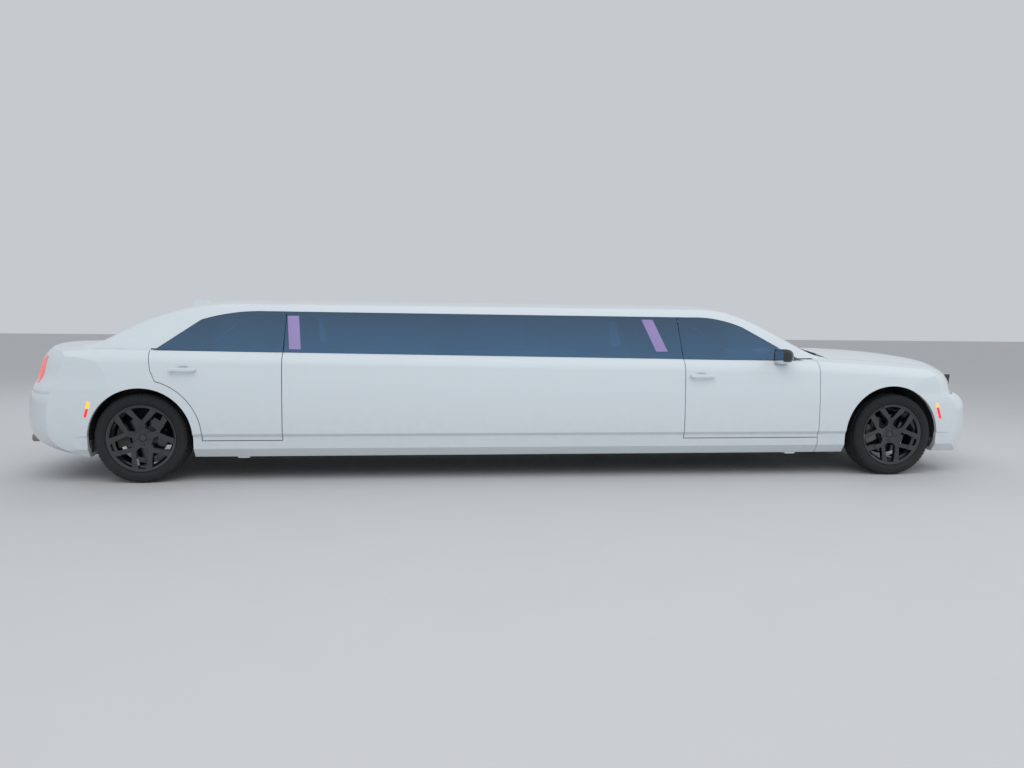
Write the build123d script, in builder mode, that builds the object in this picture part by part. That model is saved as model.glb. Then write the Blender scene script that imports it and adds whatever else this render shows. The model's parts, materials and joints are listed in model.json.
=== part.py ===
"""White stretch limousine: a four-door saloon lengthened between its doors.

Millimetres. +X is forward, +Y is the car's left, +Z is up. The origin is on the ground under the middle
of the car. Side outlines are written as (x, z), plan outlines as (x, y) and cross-sections as (y, z).
"""

from math import asin, cos, radians, sin, sqrt, tan
import os

from build123d import *

# Overall sizes
LENGTH = 8344.0
HALF_WIDTH = 951.0
ROOF_Z = 1490.0
WHEELBASE = 6354.0
FRONT_OVERHANG = 900.0
FRONT_AXLE_X = LENGTH / 2 - FRONT_OVERHANG
REAR_AXLE_X = FRONT_AXLE_X - WHEELBASE

# Where the body is cut from front to back
FENDER_X = 2574.0
STRETCH_FRONT_X = 1366.0
STRETCH_REAR_X = -1979.0
FIREWALL_X = 2520.0
SEAT_BACK_X = -3040.0
HOOD_REAR_X = 2735.0
LID_FRONT_X = -3570.0

# Heights of the lower body
SILL_Z = 205.0
DOOR_BOTTOM_Z = 342.0
CREASE_Z = 385.0
BELT_FRONT = (2465.0, 1003.0)
BELT_REAR = (-3000.0, 1062.0)
SHOULDER_RISE = 95.0
SHOULDER_LEDGE = 85.0
FLOOR_Z = 300.0

# Roof line: level, then one arc down to the tail and one arc and a straight screen to the nose
ROOF_REAR_X = -2400.0
ROOF_REAR_R = 1820.0
ROOF_FRONT_X = 1585.0
ROOF_FRONT_R = 1149.0
SCREEN_ANGLE = 28.6
TUMBLEHOME = 0.59
CABIN_HALF_WIDTH = 868.0
ROOF_CROWN = 42.0

# Wall thicknesses and gaps
SKIN = 30.0
DOOR_WALL = 95.0
CABIN_WALL = 42.0
GLASS = 5.0
GLASS_SEAT = 6.0
GLASS_THICK = 5.4
PANEL_GAP = 6.0
FIT = 0.3

# Wheels
TYRE_R = 360.0
TYRE_WIDTH = 245.0
RIM_R = 254.0
RIM_FLANGE = 12.0
TRACK_HALF = 806.0
FRONT_ARCH_R = 430.0
ARCH_SHIFT = 15.0
REAR_ARCH_R = 405.0
KINGPIN_Y = 735.0
SPINDLE_R = 22.0
DISC_R = 172.0

# Floor and driveline
FLOOR_HALF = 795.0
FLOOR_THICKNESS = 14.0
TUNNEL_HALF = 120.0
TUNNEL_Z = 430.0
SHAFT_Z = 340.0
REAR_FLOOR_Z = 450.0
KICK_X = -2330.0

os.makedirs("parts", exist_ok=True)


def belt_height(x):
    """Height of the line under the side windows."""
    share = (BELT_FRONT[0] - x) / (BELT_FRONT[0] - BELT_REAR[0])
    return BELT_FRONT[1] + (BELT_REAR[1] - BELT_FRONT[1]) * share


def side_width(x):
    """Half width of the lower body: parallel along the stretch, drawn in a little at each end."""
    past_front = max(x - STRETCH_FRONT_X, 0) / 2300
    past_rear = max(STRETCH_REAR_X - x, 0) / 2200
    return HALF_WIDTH - 22 * past_front**2 - 22 * past_rear**2


def shoulder_height(x):
    """Height of the outer top edge of the fenders, doors and quarter panels."""
    past_front = max(x - 2260, 0) / 1700
    past_rear = max(-2940 - x, 0) / 1200
    return belt_height(x) - 90 * past_front**2 - 40 * past_rear**2


def top_height(x):
    """Height of the hood and the boot lid on the centreline."""
    if x > 2260:
        return 1095 - 85 * (max(x - 2460, 0) / 1400) ** 3
    if x < -2940:
        return 1124 - 45 * ((x + 3340) / 900) ** 2
    return shoulder_height(x) + 70


def roof_height(x):
    """Height of the roof and the two screens on the centreline."""
    if x < ROOF_REAR_X:
        return ROOF_Z - ROOF_REAR_R + sqrt(ROOF_REAR_R**2 - (ROOF_REAR_X - x) ** 2)
    arc_end = ROOF_FRONT_X + ROOF_FRONT_R * sin(radians(SCREEN_ANGLE))
    if x > arc_end:
        arc_drop = ROOF_FRONT_R * (1 - cos(radians(SCREEN_ANGLE)))
        return ROOF_Z - arc_drop - (x - arc_end) * tan(radians(SCREEN_ANGLE))
    if x > ROOF_FRONT_X:
        return ROOF_Z - ROOF_FRONT_R + sqrt(ROOF_FRONT_R**2 - (x - ROOF_FRONT_X) ** 2)
    return ROOF_Z


def cabin_width(x):
    """Half width of the cabin at the belt."""
    past_front = max(x - STRETCH_FRONT_X, 0) / 1100
    past_rear = max(STRETCH_REAR_X - x, 0) / 1460
    return CABIN_HALF_WIDTH - 72 * past_front**2 - 100 * past_rear**2


def body_section(x, inset):
    """Cross-section of the lower body at x: sill, side with its crease, rounded shoulder and crowned top."""
    w = side_width(x) - inset
    bottom = SILL_Z + inset
    shoulder = shoulder_height(x) - inset
    sill = (w - 75, bottom)
    tuck = (w - 26, bottom + 70)
    under_crease = (w - 20, CREASE_Z - 12)
    crease = (w - 3, CREASE_Z + 12)
    bulge = (w, (CREASE_Z + shoulder - 60) / 2)
    turn = (w - 14, shoulder - SHOULDER_RISE)
    ledge = (w - SHOULDER_LEDGE, shoulder)
    with BuildSketch(Plane.YZ.offset(x)) as section:
        with BuildLine():
            Line((-sill[0], sill[1]), sill)
            Line(sill, tuck)
            Line(tuck, under_crease)
            Line(under_crease, crease)
            ThreePointArc(crease, bulge, turn)
            TangentArc(turn, ledge, tangent=(-0.12, 1))
            ThreePointArc(ledge, (0, top_height(x) - inset), (-ledge[0], ledge[1]))
            TangentArc((-turn[0], turn[1]), (-ledge[0], ledge[1]), tangent=(0.12, 1))
            ThreePointArc((-turn[0], turn[1]), (-bulge[0], bulge[1]), (-crease[0], crease[1]))
            Line((-crease[0], crease[1]), (-under_crease[0], under_crease[1]))
            Line((-under_crease[0], under_crease[1]), (-tuck[0], tuck[1]))
            Line((-tuck[0], tuck[1]), (-sill[0], sill[1]))
        make_face()
    return section.sketch


def cabin_section(x, inset):
    """Cross-section of the greenhouse at x: upright foot, leaning side, rounded rail and crowned roof."""
    foot = 900.0
    belt = belt_height(x)
    top = roof_height(x) - inset
    rail_z = top - ROOF_CROWN - 62
    half = cabin_width(x) - inset
    rail_y = half - TUMBLEHOME * max(rail_z - belt, 5)
    rail_z = max(rail_z, belt + 5)
    roof_y, roof_z = rail_y - 92, top - ROOF_CROWN
    with BuildSketch(Plane.YZ.offset(x)) as section:
        with BuildLine():
            Line((-half, foot), (half, foot))
            Line((half, foot), (half, belt))
            Line((half, belt), (rail_y, rail_z))
            TangentArc((rail_y, rail_z), (roof_y, roof_z), tangent=(-TUMBLEHOME, 1))
            ThreePointArc((roof_y, roof_z), (0, top), (-roof_y, roof_z))
            TangentArc((-rail_y, rail_z), (-roof_y, roof_z), tangent=(TUMBLEHOME, 1))
            Line((-rail_y, rail_z), (-half, belt))
            Line((-half, belt), (-half, foot))
        make_face()
    return section.sketch


BODY_STATIONS = (
    (STRETCH_FRONT_X, 1970.0, FENDER_X, 2960.0, 3360.0, 3760.0, 4260.0),
    (STRETCH_REAR_X, STRETCH_FRONT_X),
    (-4260.0, -3790.0, -3340.0, -2940.0, -2440.0, STRETCH_REAR_X),
)
CABIN_STATIONS = (
    (STRETCH_FRONT_X, 1660.0, 1910.0, 2160.0, 2440.0, 2720.0),
    (STRETCH_REAR_X, STRETCH_FRONT_X),
    (-3560.0, -3280.0, -2960.0, -2640.0, -2400.0, STRETCH_REAR_X),
)


def lofted(section, runs, inset):
    """Loft through the cross-sections of each run of stations, fused end to end."""
    lengths = []
    for stations in runs:
        with BuildPart() as run:
            for x in stations:
                add(section(x, inset))
            loft()
        lengths.append(run.part)
    with BuildPart() as body:
        for part in lengths:
            add(part)
    return body.part


# Outlines of the two ends from above, as height, reach on the centreline and reach at the corner
BUMPER_TOP_Z = 712.0
NOSE_LOWER = (
    (150, 4080, 3960),
    (300, 4146, 4038),
    (450, 4172, 4064),
    (600, 4166, 4058),
    (670, 4142, 4024),
    (BUMPER_TOP_Z, 4100, 3968),
)
NOSE_UPPER = (
    (BUMPER_TOP_Z, 4096, 3928),
    (780, 4100, 3903),
    (860, 4080, 3864),
    (930, 4034, 3765),
    (985, 3950, 3560),
    (1040, 3760, 3200),
    (1110, 3300, 2400),
)
TAIL_LOWER = (
    (190, 3880, 3600),
    (300, 4085, 3925),
    (400, 4155, 4002),
    (500, 4172, 4014),
    (620, 4166, 4007),
    (BUMPER_TOP_Z, 4142, 3988),
)
TAIL_UPPER = (
    (BUMPER_TOP_Z, 4132, 3978),
    (780, 4112, 3958),
    (930, 4056, 3892),
    (1010, 4022, 3864),
    (1050, 3995, 3832),
    (1090, 3950, 3780),
    (1150, 3860, 3670),
)


def end_outline(z, reach, corner, corner_y, side_turn, inset):
    """Outline from above of one end, pointing along +X, at height z."""
    reach, corner = reach - inset, corner - inset
    belly = reach - 0.42 * (reach - corner)
    foot = (corner - side_turn, 903 - inset)
    with BuildSketch(Plane.XY.offset(z)) as outline:
        with BuildLine():
            ThreePointArc((belly, -500), (reach, 0), (belly, 500))
            ThreePointArc((belly, 500), (corner, corner_y), foot)
            Polyline(foot, (1300, 1120), (1300, -1120), (foot[0], -foot[1]))
            ThreePointArc((foot[0], -foot[1]), (corner, -corner_y), (belly, -500))
        make_face()
    return outline.sketch


def rounded_end(loft_part, rings_pair, corner_y, side_turn, inset):
    """One end of the body, cut to its outline below and above the top of its bumper."""
    halves = []
    for rings in rings_pair:
        with BuildPart() as block:
            for z, reach, corner in rings:
                add(end_outline(z, reach, corner, corner_y, side_turn, inset))
            loft()
        with BuildPart() as half:
            add(loft_part)
            add(block.part, mode=Mode.INTERSECT)
        halves.append(half.part)
    with BuildPart() as end:
        for part in halves:
            add(part)
    return end.part


def lower_body(inset):
    """Solid with the shape of the lower body, drawn in by a distance all round."""
    front, middle, rear = [lofted(body_section, (run,), inset) for run in BODY_STATIONS]
    nose = rounded_end(front, (NOSE_LOWER, NOSE_UPPER), 745, 195, inset)
    tail = rounded_end(rear.mirror(Plane.YZ), (TAIL_LOWER, TAIL_UPPER), 700, 215, inset)
    return nose, middle, tail.mirror(Plane.YZ)


def block(x, y, z):
    """Box between two values of x, of y and of z."""
    with BuildPart() as solid:
        with BuildSketch(Plane.XY.offset(z[0])):
            with Locations(((x[0] + x[1]) / 2, (y[0] + y[1]) / 2)):
                Rectangle(x[1] - x[0], y[1] - y[0])
        extrude(amount=z[1] - z[0])
    return solid.part


def outline(*points):
    """Straight-sided outline."""
    with BuildSketch() as shape:
        with BuildLine():
            Polyline(*points, close=True)
        make_face()
    return shape.sketch


def side_prism(shape, y_low, y_high):
    """Prism of an outline seen from the side, between two values of y."""
    with BuildPart() as prism:
        with BuildSketch(Plane.XZ.offset(-y_high)):
            add(shape)
        extrude(amount=y_high - y_low)
    return prism.part


def plan_prism(shape, z_low, z_high):
    """Prism of an outline seen from above."""
    with BuildPart() as prism:
        with BuildSketch(Plane.XY.offset(z_low)):
            add(shape)
        extrude(amount=z_high - z_low)
    return prism.part


def front_prism(shape, x_low, x_high):
    """Prism of an outline seen from the front or the back."""
    with BuildPart() as prism:
        with BuildSketch(Plane.YZ.offset(x_low)):
            add(shape)
        extrude(amount=x_high - x_low)
    return prism.part


def shaped(base, keep=(), cut=(), also=()):
    """A solid limited to some regions, with others cut away and further solids joined."""
    with BuildPart() as piece:
        add(base)
        for part in keep:
            add(part, mode=Mode.INTERSECT)
        for part in cut:
            add(part, mode=Mode.SUBTRACT)
        for part in also:
            add(part)
    return piece.part


def both_sides(part):
    """A piece of the left side with its mirror image on the right."""
    with BuildPart() as pair:
        add(part)
        add(part.mirror(Plane.XZ))
    return pair.part


def write(part, name):
    """Label a finished piece and write its file."""
    part.label = name
    export_step(part, f"parts/{name}.step")


def window_band(shrink):
    """Outline of the dark band of glass along the side, drawn in by a distance."""
    with BuildSketch() as band:
        with BuildLine():
            Line(BELT_REAR, BELT_FRONT)
            Line(BELT_FRONT, (1960, 1290))
            ThreePointArc((1960, 1290), (1760, 1353), (1500, 1374))
            Line((1500, 1374), (-2150, 1386))
            ThreePointArc((-2150, 1386), (-2430, 1367), (-2660, 1312))
            Line((-2660, 1312), BELT_REAR)
        make_face()
        if shrink:
            offset(amount=-shrink, kind=Kind.INTERSECTION)
    return band.sketch


def band_span(shrink, x_low, x_high, drop=0.0):
    """The part of the glass band between two values of x, carried down below the belt by a drop."""
    with BuildSketch() as span:
        add(window_band(shrink))
        if drop:
            add(outline((-2960, 1080), (-2960, 1080 - drop), (2430, 1040 - drop), (2430, 1020)))
        with BuildSketch(mode=Mode.PRIVATE) as limits:
            with Locations(((x_low + x_high) / 2, 1100)):
                Rectangle(x_high - x_low, 900)
        add(limits.sketch, mode=Mode.INTERSECT)
    return span.sketch


# The masters: outer and inner shapes of the lower body and the greenhouse
NOSE_OUTER, WAIST_OUTER, TAIL_OUTER = lower_body(0)
NOSE_INNER, WAIST_INNER, TAIL_INNER = lower_body(SKIN)
FRONT_RUN, WAIST_RUN, REAR_RUN = [(run,) for run in BODY_STATIONS]
FRONT_SIDE, REAR_SIDE = lofted(body_section, FRONT_RUN, 0), lofted(body_section, REAR_RUN, 0)
LOWER_SOLID = (FRONT_SIDE, WAIST_OUTER, REAR_SIDE)
CABIN_OUTER = lofted(cabin_section, CABIN_STATIONS, 0)
CABIN_SEAT = lofted(cabin_section, CABIN_STATIONS, GLASS_SEAT)
CABIN_INNER = lofted(cabin_section, CABIN_STATIONS, CABIN_WALL)
SEAT_LAYER = shaped(CABIN_OUTER, cut=(CABIN_SEAT,))
GLASS_LAYER = shaped(CABIN_OUTER, cut=(lofted(cabin_section, CABIN_STATIONS, GLASS_THICK),))
FRAME_LAYER = shaped(CABIN_SEAT, cut=(CABIN_INNER,))
HALF_GAP = PANEL_GAP / 2

# Wheel arches, cut through each side
ARCH_CENTRES = ((FRONT_AXLE_X - ARCH_SHIFT, FRONT_ARCH_R), (REAR_AXLE_X, REAR_ARCH_R))


def arch_cut(x, radius):
    """Cut for one wheel arch: a half round with straight sides down to the ground."""
    with BuildPart() as cut:
        with BuildSketch(Plane.XZ.offset(-1100)):
            with Locations((x, TYRE_R)):
                Circle(radius)
            with Locations((x, TYRE_R / 2)):
                Rectangle(2 * radius, TYRE_R)
        extrude(amount=700)
    return cut.part


FRONT_ARCH, REAR_ARCH = [arch_cut(x, radius) for x, radius in ARCH_CENTRES]


# Doors: a thin outer skin to the full outline, a deeper inner part set back from the edges, a frame and glass
DOOR_SKIN = 40.0
DOOR_STEP = 28.0
SILL_TOP_Z = DOOR_BOTTOM_Z - HALF_GAP


def front_door_outline(shrink):
    """Outline of the lower part of the front door."""
    with BuildSketch() as door:
        add(outline((STRETCH_FRONT_X, DOOR_BOTTOM_Z), (FENDER_X, DOOR_BOTTOM_Z),
                    (FENDER_X, 1130), (STRETCH_FRONT_X, 1130)))
        offset(amount=-shrink, kind=Kind.INTERSECTION)
    return door.sketch


def rear_door_outline(shrink):
    """Outline of the lower part of the rear door, cut away around the wheel arch."""
    reach = REAR_ARCH_R + 70
    turn = radians(38)
    with BuildSketch() as door:
        with BuildLine():
            Polyline((REAR_AXLE_X + reach, TYRE_R), (REAR_AXLE_X + reach, DOOR_BOTTOM_Z),
                     (STRETCH_REAR_X, DOOR_BOTTOM_Z), (STRETCH_REAR_X, 1130), (-3022, 1130), (-2995, 905),
                     (REAR_AXLE_X + reach * cos(radians(75)), TYRE_R + reach * sin(radians(75))))
            ThreePointArc(
                (REAR_AXLE_X + reach * cos(radians(75)), TYRE_R + reach * sin(radians(75))),
                (REAR_AXLE_X + reach * cos(turn), TYRE_R + reach * sin(turn)),
                (REAR_AXLE_X + reach, TYRE_R),
            )
        make_face()
        offset(amount=-shrink, kind=Kind.INTERSECTION)
    return door.sketch


def door_body(side_solid, run, shape, x_low, x_high):
    """One left door without its glass: skin, inner part and window frame."""
    skin = shaped(side_solid, keep=(side_prism(shape(HALF_GAP), 745, 1000),),
                  cut=(lofted(body_section, run, DOOR_SKIN),))
    inner = shaped(side_solid, keep=(side_prism(shape(DOOR_STEP), 745, 1000),),
                   cut=(lofted(body_section, run, DOOR_WALL),))
    frame = shaped(
        FRAME_LAYER,
        keep=(side_prism(band_span(12, x_low + DOOR_STEP, x_high - DOOR_STEP, 90), 400, 1000),),
        cut=(side_prism(band_span(48, x_low + 80, x_high - 80), 400, 1000),),
    )
    return shaped(skin, also=(inner, frame))


def door_glass(side_solid, x_low, x_high):
    """Glass of one left door, flush with the roof."""
    return shaped(GLASS_LAYER, keep=(side_prism(band_span(3, x_low, x_high), 400, 1000),), cut=(side_solid,))


def handle(x, z):
    """Pull handle of a left door: a rounded bar on two feet."""
    y = side_width(x) - 4
    with BuildPart() as grip:
        with BuildSketch(Plane.XZ.offset(-(y + 38))):
            with Locations((x, z)):
                RectangleRounded(205, 27, 12)
        extrude(amount=15)
        with BuildSketch(Plane.XZ.offset(-(y + 30))):
            with Locations((x - 84, z), (x + 84, z)):
                RectangleRounded(34, 22, 9)
        extrude(amount=45)
        fillet(grip.faces().sort_by(Axis.Y)[-1].edges(), 6)
    return grip.part


def handle_scoop(x, z):
    """Hollow behind a handle for the fingers."""
    y = side_width(x) + 58
    with BuildPart() as scoop:
        with Locations((x, y, z)):
            Sphere(82)
        with BuildSketch(Plane.XZ.offset(-(y - 100))):
            with Locations((x, z)):
                Rectangle(400, 56)
        extrude(amount=-200, mode=Mode.INTERSECT)
    return scoop.part


def mirror_cap():
    """Mirror of the left front door: a foot on the door's corner and a rounded housing, open to the rear."""
    x, y, z = 2215, 985, 1050
    with BuildPart() as cap:
        with BuildSketch(Plane.YZ.offset(x - 50)):
            with Locations((y, z)):
                RectangleRounded(190, 122, 34)
        with BuildSketch(Plane.YZ.offset(x + 10)):
            with Locations((y, z)):
                RectangleRounded(186, 118, 34)
        with BuildSketch(Plane.YZ.offset(x + 62)):
            with Locations((y - 14, z - 2)):
                RectangleRounded(120, 68, 26)
        loft()
        with BuildSketch(Plane.YZ.offset(x - 50)):
            with Locations((y, z)):
                RectangleRounded(176, 108, 28)
        extrude(amount=10, mode=Mode.SUBTRACT)
    with BuildPart() as foot:
        with BuildSketch(Plane.XY.offset(z - 68)):
            with Locations((x + 22, y - 98)):
                RectangleRounded(95, 110, 22)
        extrude(amount=34)
    return shaped(cap.part, also=(foot.part,))


def mirror_glass():
    """Mirror plate that lies in the open back of the left mirror housing."""
    with BuildPart() as plate:
        with BuildSketch(Plane.YZ.offset(2215 - 46)):
            with Locations((985, 1050)):
                RectangleRounded(172, 104, 26)
        extrude(amount=6)
    return plate.part


FRONT_HANDLE = (1506, 877)
REAR_HANDLE = (-2744, 915)
FRONT_GLASS_X = (STRETCH_FRONT_X + HALF_GAP, FENDER_X)
REAR_GLASS_X = (-3050, STRETCH_REAR_X - HALF_GAP)
front_door = door_body(FRONT_SIDE, FRONT_RUN, front_door_outline, *FRONT_GLASS_X)
front_door = shaped(front_door, cut=(handle_scoop(*FRONT_HANDLE),), also=(handle(*FRONT_HANDLE), mirror_cap()))
rear_door = door_body(REAR_SIDE, REAR_RUN, rear_door_outline, *REAR_GLASS_X)
rear_door = shaped(rear_door, cut=(handle_scoop(*REAR_HANDLE),), also=(handle(*REAR_HANDLE),))
front_glass = door_glass(FRONT_SIDE, *FRONT_GLASS_X)
rear_glass = door_glass(REAR_SIDE, *REAR_GLASS_X)
for name, part in (
    ("door_front", front_door),
    ("door_rear", rear_door),
    ("door_glass_front", front_glass),
    ("door_glass_rear", rear_glass),
):
    write(part, name + "_left")
    write(part.mirror(Plane.XZ), name + "_right")
write(mirror_glass(), "mirror_glass_left")
write(mirror_glass().mirror(Plane.XZ), "mirror_glass_right")


# Greenhouse: roof with its pillars and rails, the fixed side glass and the two screens
def screen_outline(top_x, top_half, base_x, base_half, shrink):
    """Outline from above of the windscreen or the rear window."""
    with BuildSketch() as screen:
        add(outline((top_x, -top_half), (base_x, -base_half), (base_x, base_half), (top_x, top_half)))
        fillet(screen.vertices().group_by(Axis.X)[0 if top_x < base_x else -1], 60)
        offset(amount=-shrink)
    return screen.sketch


WINDSCREEN = (1775.0, 548.0, 2680.0, 712.0)
REAR_WINDOW = (-2975.0, 585.0, -3640.0, 665.0)
STRETCH_POSTS = (251.0, -864.0)
STRETCH_X = (STRETCH_REAR_X + HALF_GAP, STRETCH_FRONT_X - HALF_GAP)
LIGHT_PANELS = (
    ((-1968, 1350), (-1880, 1350), (-1840, 1078), (-1936, 1078)),
    ((1045, 1350), (1142, 1350), (1239, 1072), (1136, 1072)),
)


def shark_fin():
    """Aerial on the roof: upright at the back, falling away to the front."""
    with BuildPart() as fin:
        with BuildSketch(Plane.XZ.offset(-24)):
            with BuildLine():
                Polyline((-2740, 1425), (-2748, 1468), (-2790, 1490), (-2905, 1494), (-2908, 1405), (-2740, 1425))
            make_face()
        extrude(amount=48)
        with BuildSketch(Plane.YZ.offset(-2950)):
            with BuildLine():
                Polyline((-24, 1390), (24, 1390), (9, 1500), (-9, 1500), close=True)
            make_face()
        extrude(amount=250, mode=Mode.INTERSECT)
    return fin.part


def screen_cut(size, shrink):
    """Upright cut through the roof for one screen."""
    return plan_prism(screen_outline(*size, shrink), 950, 1600)


def roof_panel():
    """Roof, rails and pillars in one, with seats for the glass and openings behind it."""
    door_zone = side_prism(band_span(0, STRETCH_FRONT_X - HALF_GAP, 2700, 90), 400, 1000)
    rear_zone = side_prism(band_span(0, -3100, STRETCH_REAR_X + HALF_GAP, 90), 400, 1000)
    stretch_zone = side_prism(band_span(0, *STRETCH_X), 400, 1000)
    windows = [
        side_prism(band_span(45, low, high), 400, 1000)
        for low, high in (
            (STRETCH_X[0] + 60, STRETCH_POSTS[1] - 40),
            (STRETCH_POSTS[1] + 40, STRETCH_POSTS[0] - 40),
            (STRETCH_POSTS[0] + 40, STRETCH_X[1] - 60),
        )
    ]
    side = shaped(CABIN_OUTER, keep=(block((-3600, 2760), (0, 1000), (900, 1600)),), cut=(CABIN_INNER,))
    side = shaped(side, cut=(door_zone, rear_zone, *LOWER_SOLID))
    side = shaped(side, cut=(shaped(SEAT_LAYER, keep=(stretch_zone,)), *windows))
    for corners in LIGHT_PANELS:
        side = shaped(side, cut=(light_panel(corners),))
    near_doors = [
        shaped(lofted(body_section, FRONT_RUN, -PANEL_GAP), keep=(block((STRETCH_FRONT_X, FENDER_X), (0, 1000), (800, 1200)),)),
        shaped(lofted(body_section, REAR_RUN, -PANEL_GAP), keep=(block((-3025, STRETCH_REAR_X), (0, 1000), (800, 1200)),)),
    ]
    side = shaped(side, cut=near_doors)
    roof = both_sides(side)
    for size in (WINDSCREEN, REAR_WINDOW):
        roof = shaped(roof, cut=(shaped(SEAT_LAYER, keep=(screen_cut(size, 0),)), screen_cut(size, 28)))
    return shaped(roof, also=(shaped(shark_fin(), cut=(CABIN_INNER,)),))


def light_panel(corners):
    """Thin lit panel under the fixed side glass, seen through it."""
    return shaped(LIGHT_LAYER, keep=(side_prism(outline(*corners), 400, 1000),))


LIGHT_LAYER = shaped(CABIN_SEAT, cut=(lofted(cabin_section, CABIN_STATIONS, GLASS_SEAT + 6),))
write(roof_panel(), "roof_panel")
write(both_sides(shaped(light_panel(LIGHT_PANELS[0]), also=(light_panel(LIGHT_PANELS[1]),))), "pillar_lights")
write(both_sides(shaped(GLASS_LAYER, keep=(side_prism(band_span(1, *STRETCH_X), 400, 1000),), cut=LOWER_SOLID)),
      "side_windows")
write(shaped(GLASS_LAYER, keep=(screen_cut(WINDSCREEN, 1),), cut=LOWER_SOLID), "windscreen")
write(shaped(GLASS_LAYER, keep=(screen_cut(REAR_WINDOW, 1),), cut=LOWER_SOLID), "rear_window")


# Lower body panels
HOOD_HALF = 735.0
HOOD_EDGE_Z = 872.0
LID_HALF = 600.0
GRILLE_HALF = 442.0
GRILLE_LOW_Z = 560.0
NOSE_SHELL = shaped(NOSE_OUTER, cut=(NOSE_INNER,))
TAIL_SHELL = shaped(TAIL_OUTER, cut=(TAIL_INNER,))
BUMPER_FRONT = outline((3700, 100), (3700, 560), (3800, BUMPER_TOP_Z), (4300, BUMPER_TOP_Z), (4300, 100))
BUMPER_REAR = outline((-3500, 100), (-3500, 640), (-3570, BUMPER_TOP_Z), (-4300, BUMPER_TOP_Z), (-4300, 100))
HEADLAMP = outline((452, 717), (452, 866), (770, 868), (800, 840), (800, 717))
TAIL_LAMP = outline((606, 791), (606, 1018), (700, 1021), (762, 1000), (752, 791))
MARKERS = (
    ((3664, 632), (3688, 640), (3732, 500), (3704, 505)),
    ((-3452, 652), (-3476, 660), (-3506, 535), (-3486, 530)),
)


def sill():
    """Box section under the left doors."""
    outer = (block((REAR_AXLE_X + REAR_ARCH_R + 66, FENDER_X - HALF_GAP), (800, 1000), (100, SILL_TOP_Z)),)
    hollow = block((-2560, 2540), (830, 1000), (100, SILL_TOP_Z - SKIN))
    pieces = []
    for solid, run in zip(LOWER_SOLID, (FRONT_RUN, WAIST_RUN, REAR_RUN)):
        void = shaped(lofted(body_section, run, SKIN), keep=(hollow,))
        pieces.append(shaped(solid, keep=outer, cut=(void,)))
    return pieces


def side_panel():
    """Left sill with the long plain panel between the doors."""
    stretch = shaped(WAIST_OUTER, keep=(block(STRETCH_X, (745, 1000), (SILL_TOP_Z, 1200)),),
                     cut=(lofted(body_section, WAIST_RUN, DOOR_WALL),))
    with BuildPart() as pads:
        with BuildSketch(Plane.XY.offset(JACK_Z)):
            with Locations(*[(x, JACK_Y) for x in JACK_X]):
                Rectangle(90, 50)
        extrude(amount=SILL_Z - JACK_Z + 5)
    return shaped(stretch, also=(*sill(), pads.part))


JACK_X = (2350.0, -2300.0)
JACK_Y = 845.0
JACK_Z = 192.0


def fender():
    """Left front fender, from the door to the headlamp."""
    keep = block((FENDER_X + HALF_GAP, 4300), (0, 1000), (100, 1200))
    hood_zone = block((2500, 4300), (-1000, HOOD_HALF), (600, 1300))
    inside = block((2500, 4300), (-1000, 790), (100, 600))
    lamp = shaped(front_prism(HEADLAMP, 3700, 4300))
    above_grille = block((3800, 4300), (-1000, 1000), (BUMPER_TOP_Z, 712.5))
    return shaped(NOSE_SHELL, keep=(keep,),
                  cut=(hood_zone, inside, side_prism(BUMPER_FRONT, -1100, 1100), FRONT_ARCH, lamp, marker_cut(0, 1),
                       block((3900, 4300), (-1000, 470), (600, 900))))


def hood():
    """Hood panel, rounded down to the headlamps and the grille."""
    keep = block((HOOD_REAR_X + HALF_GAP, 4300), (-HOOD_HALF + PANEL_GAP, HOOD_HALF - PANEL_GAP), (HOOD_EDGE_Z, 1300))
    return shaped(NOSE_SHELL, keep=(keep,))


def quarter_panel():
    """Left rear quarter, from the rear door round the wheel arch to the tail lamp."""
    keep = block((-4300, REAR_AXLE_X + REAR_ARCH_R + 66), (LID_HALF + HALF_GAP, 1000), (100, 1200))
    inside = block((-4300, -2500), (-1000, 790), (100, 560))
    return shaped(TAIL_SHELL, keep=(keep,),
                  cut=(inside, side_prism(BUMPER_REAR, -1100, 1100), REAR_ARCH, marker_cut(1, 1),
                       side_prism(rear_door_outline(-HALF_GAP), 500, 1100),
                       shaped(CABIN_INNER, keep=(block((-3600, -1900), (-1000, 1000), (900, 1500)),)),
                       front_prism(TAIL_LAMP, -4300, -3600)))


def trunk_lid():
    """Trunk lid: deck and rear face in one, with a flat recess for the number plate."""
    keep = block((-4300, LID_FRONT_X - HALF_GAP), (-LID_HALF + HALF_GAP, LID_HALF - HALF_GAP), (BUMPER_TOP_Z + 4, 1300))
    with BuildPart() as lid:
        add(shaped(TAIL_SHELL, keep=(keep,)))
        with BuildSketch(Plane.YZ.offset(PLATE_X)):
            with Locations((0, PLATE_Z)):
                RectangleRounded(400, 200, 20)
        extrude(amount=25)
        with BuildSketch(Plane.YZ.offset(PLATE_X)):
            with Locations((0, PLATE_Z)):
                RectangleRounded(360, 170, 12)
        extrude(amount=-200, mode=Mode.SUBTRACT)
        with BuildSketch(Plane.YZ.offset(PLATE_X)):
            with Locations((0, PLATE_Z)):
                with GridLocations(PLATE_HOLES_Y, PLATE_HOLES_Z, 2, 2):
                    Circle(PLATE_HOLE_R)
        extrude(amount=30, mode=Mode.SUBTRACT)
    return lid.part


PLATE_X = -4030.0
PLATE_Z = 850.0
PLATE_HOLES_Y = 177.8
PLATE_HOLES_Z = 120.65
PLATE_HOLE_R = 3.0


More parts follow.
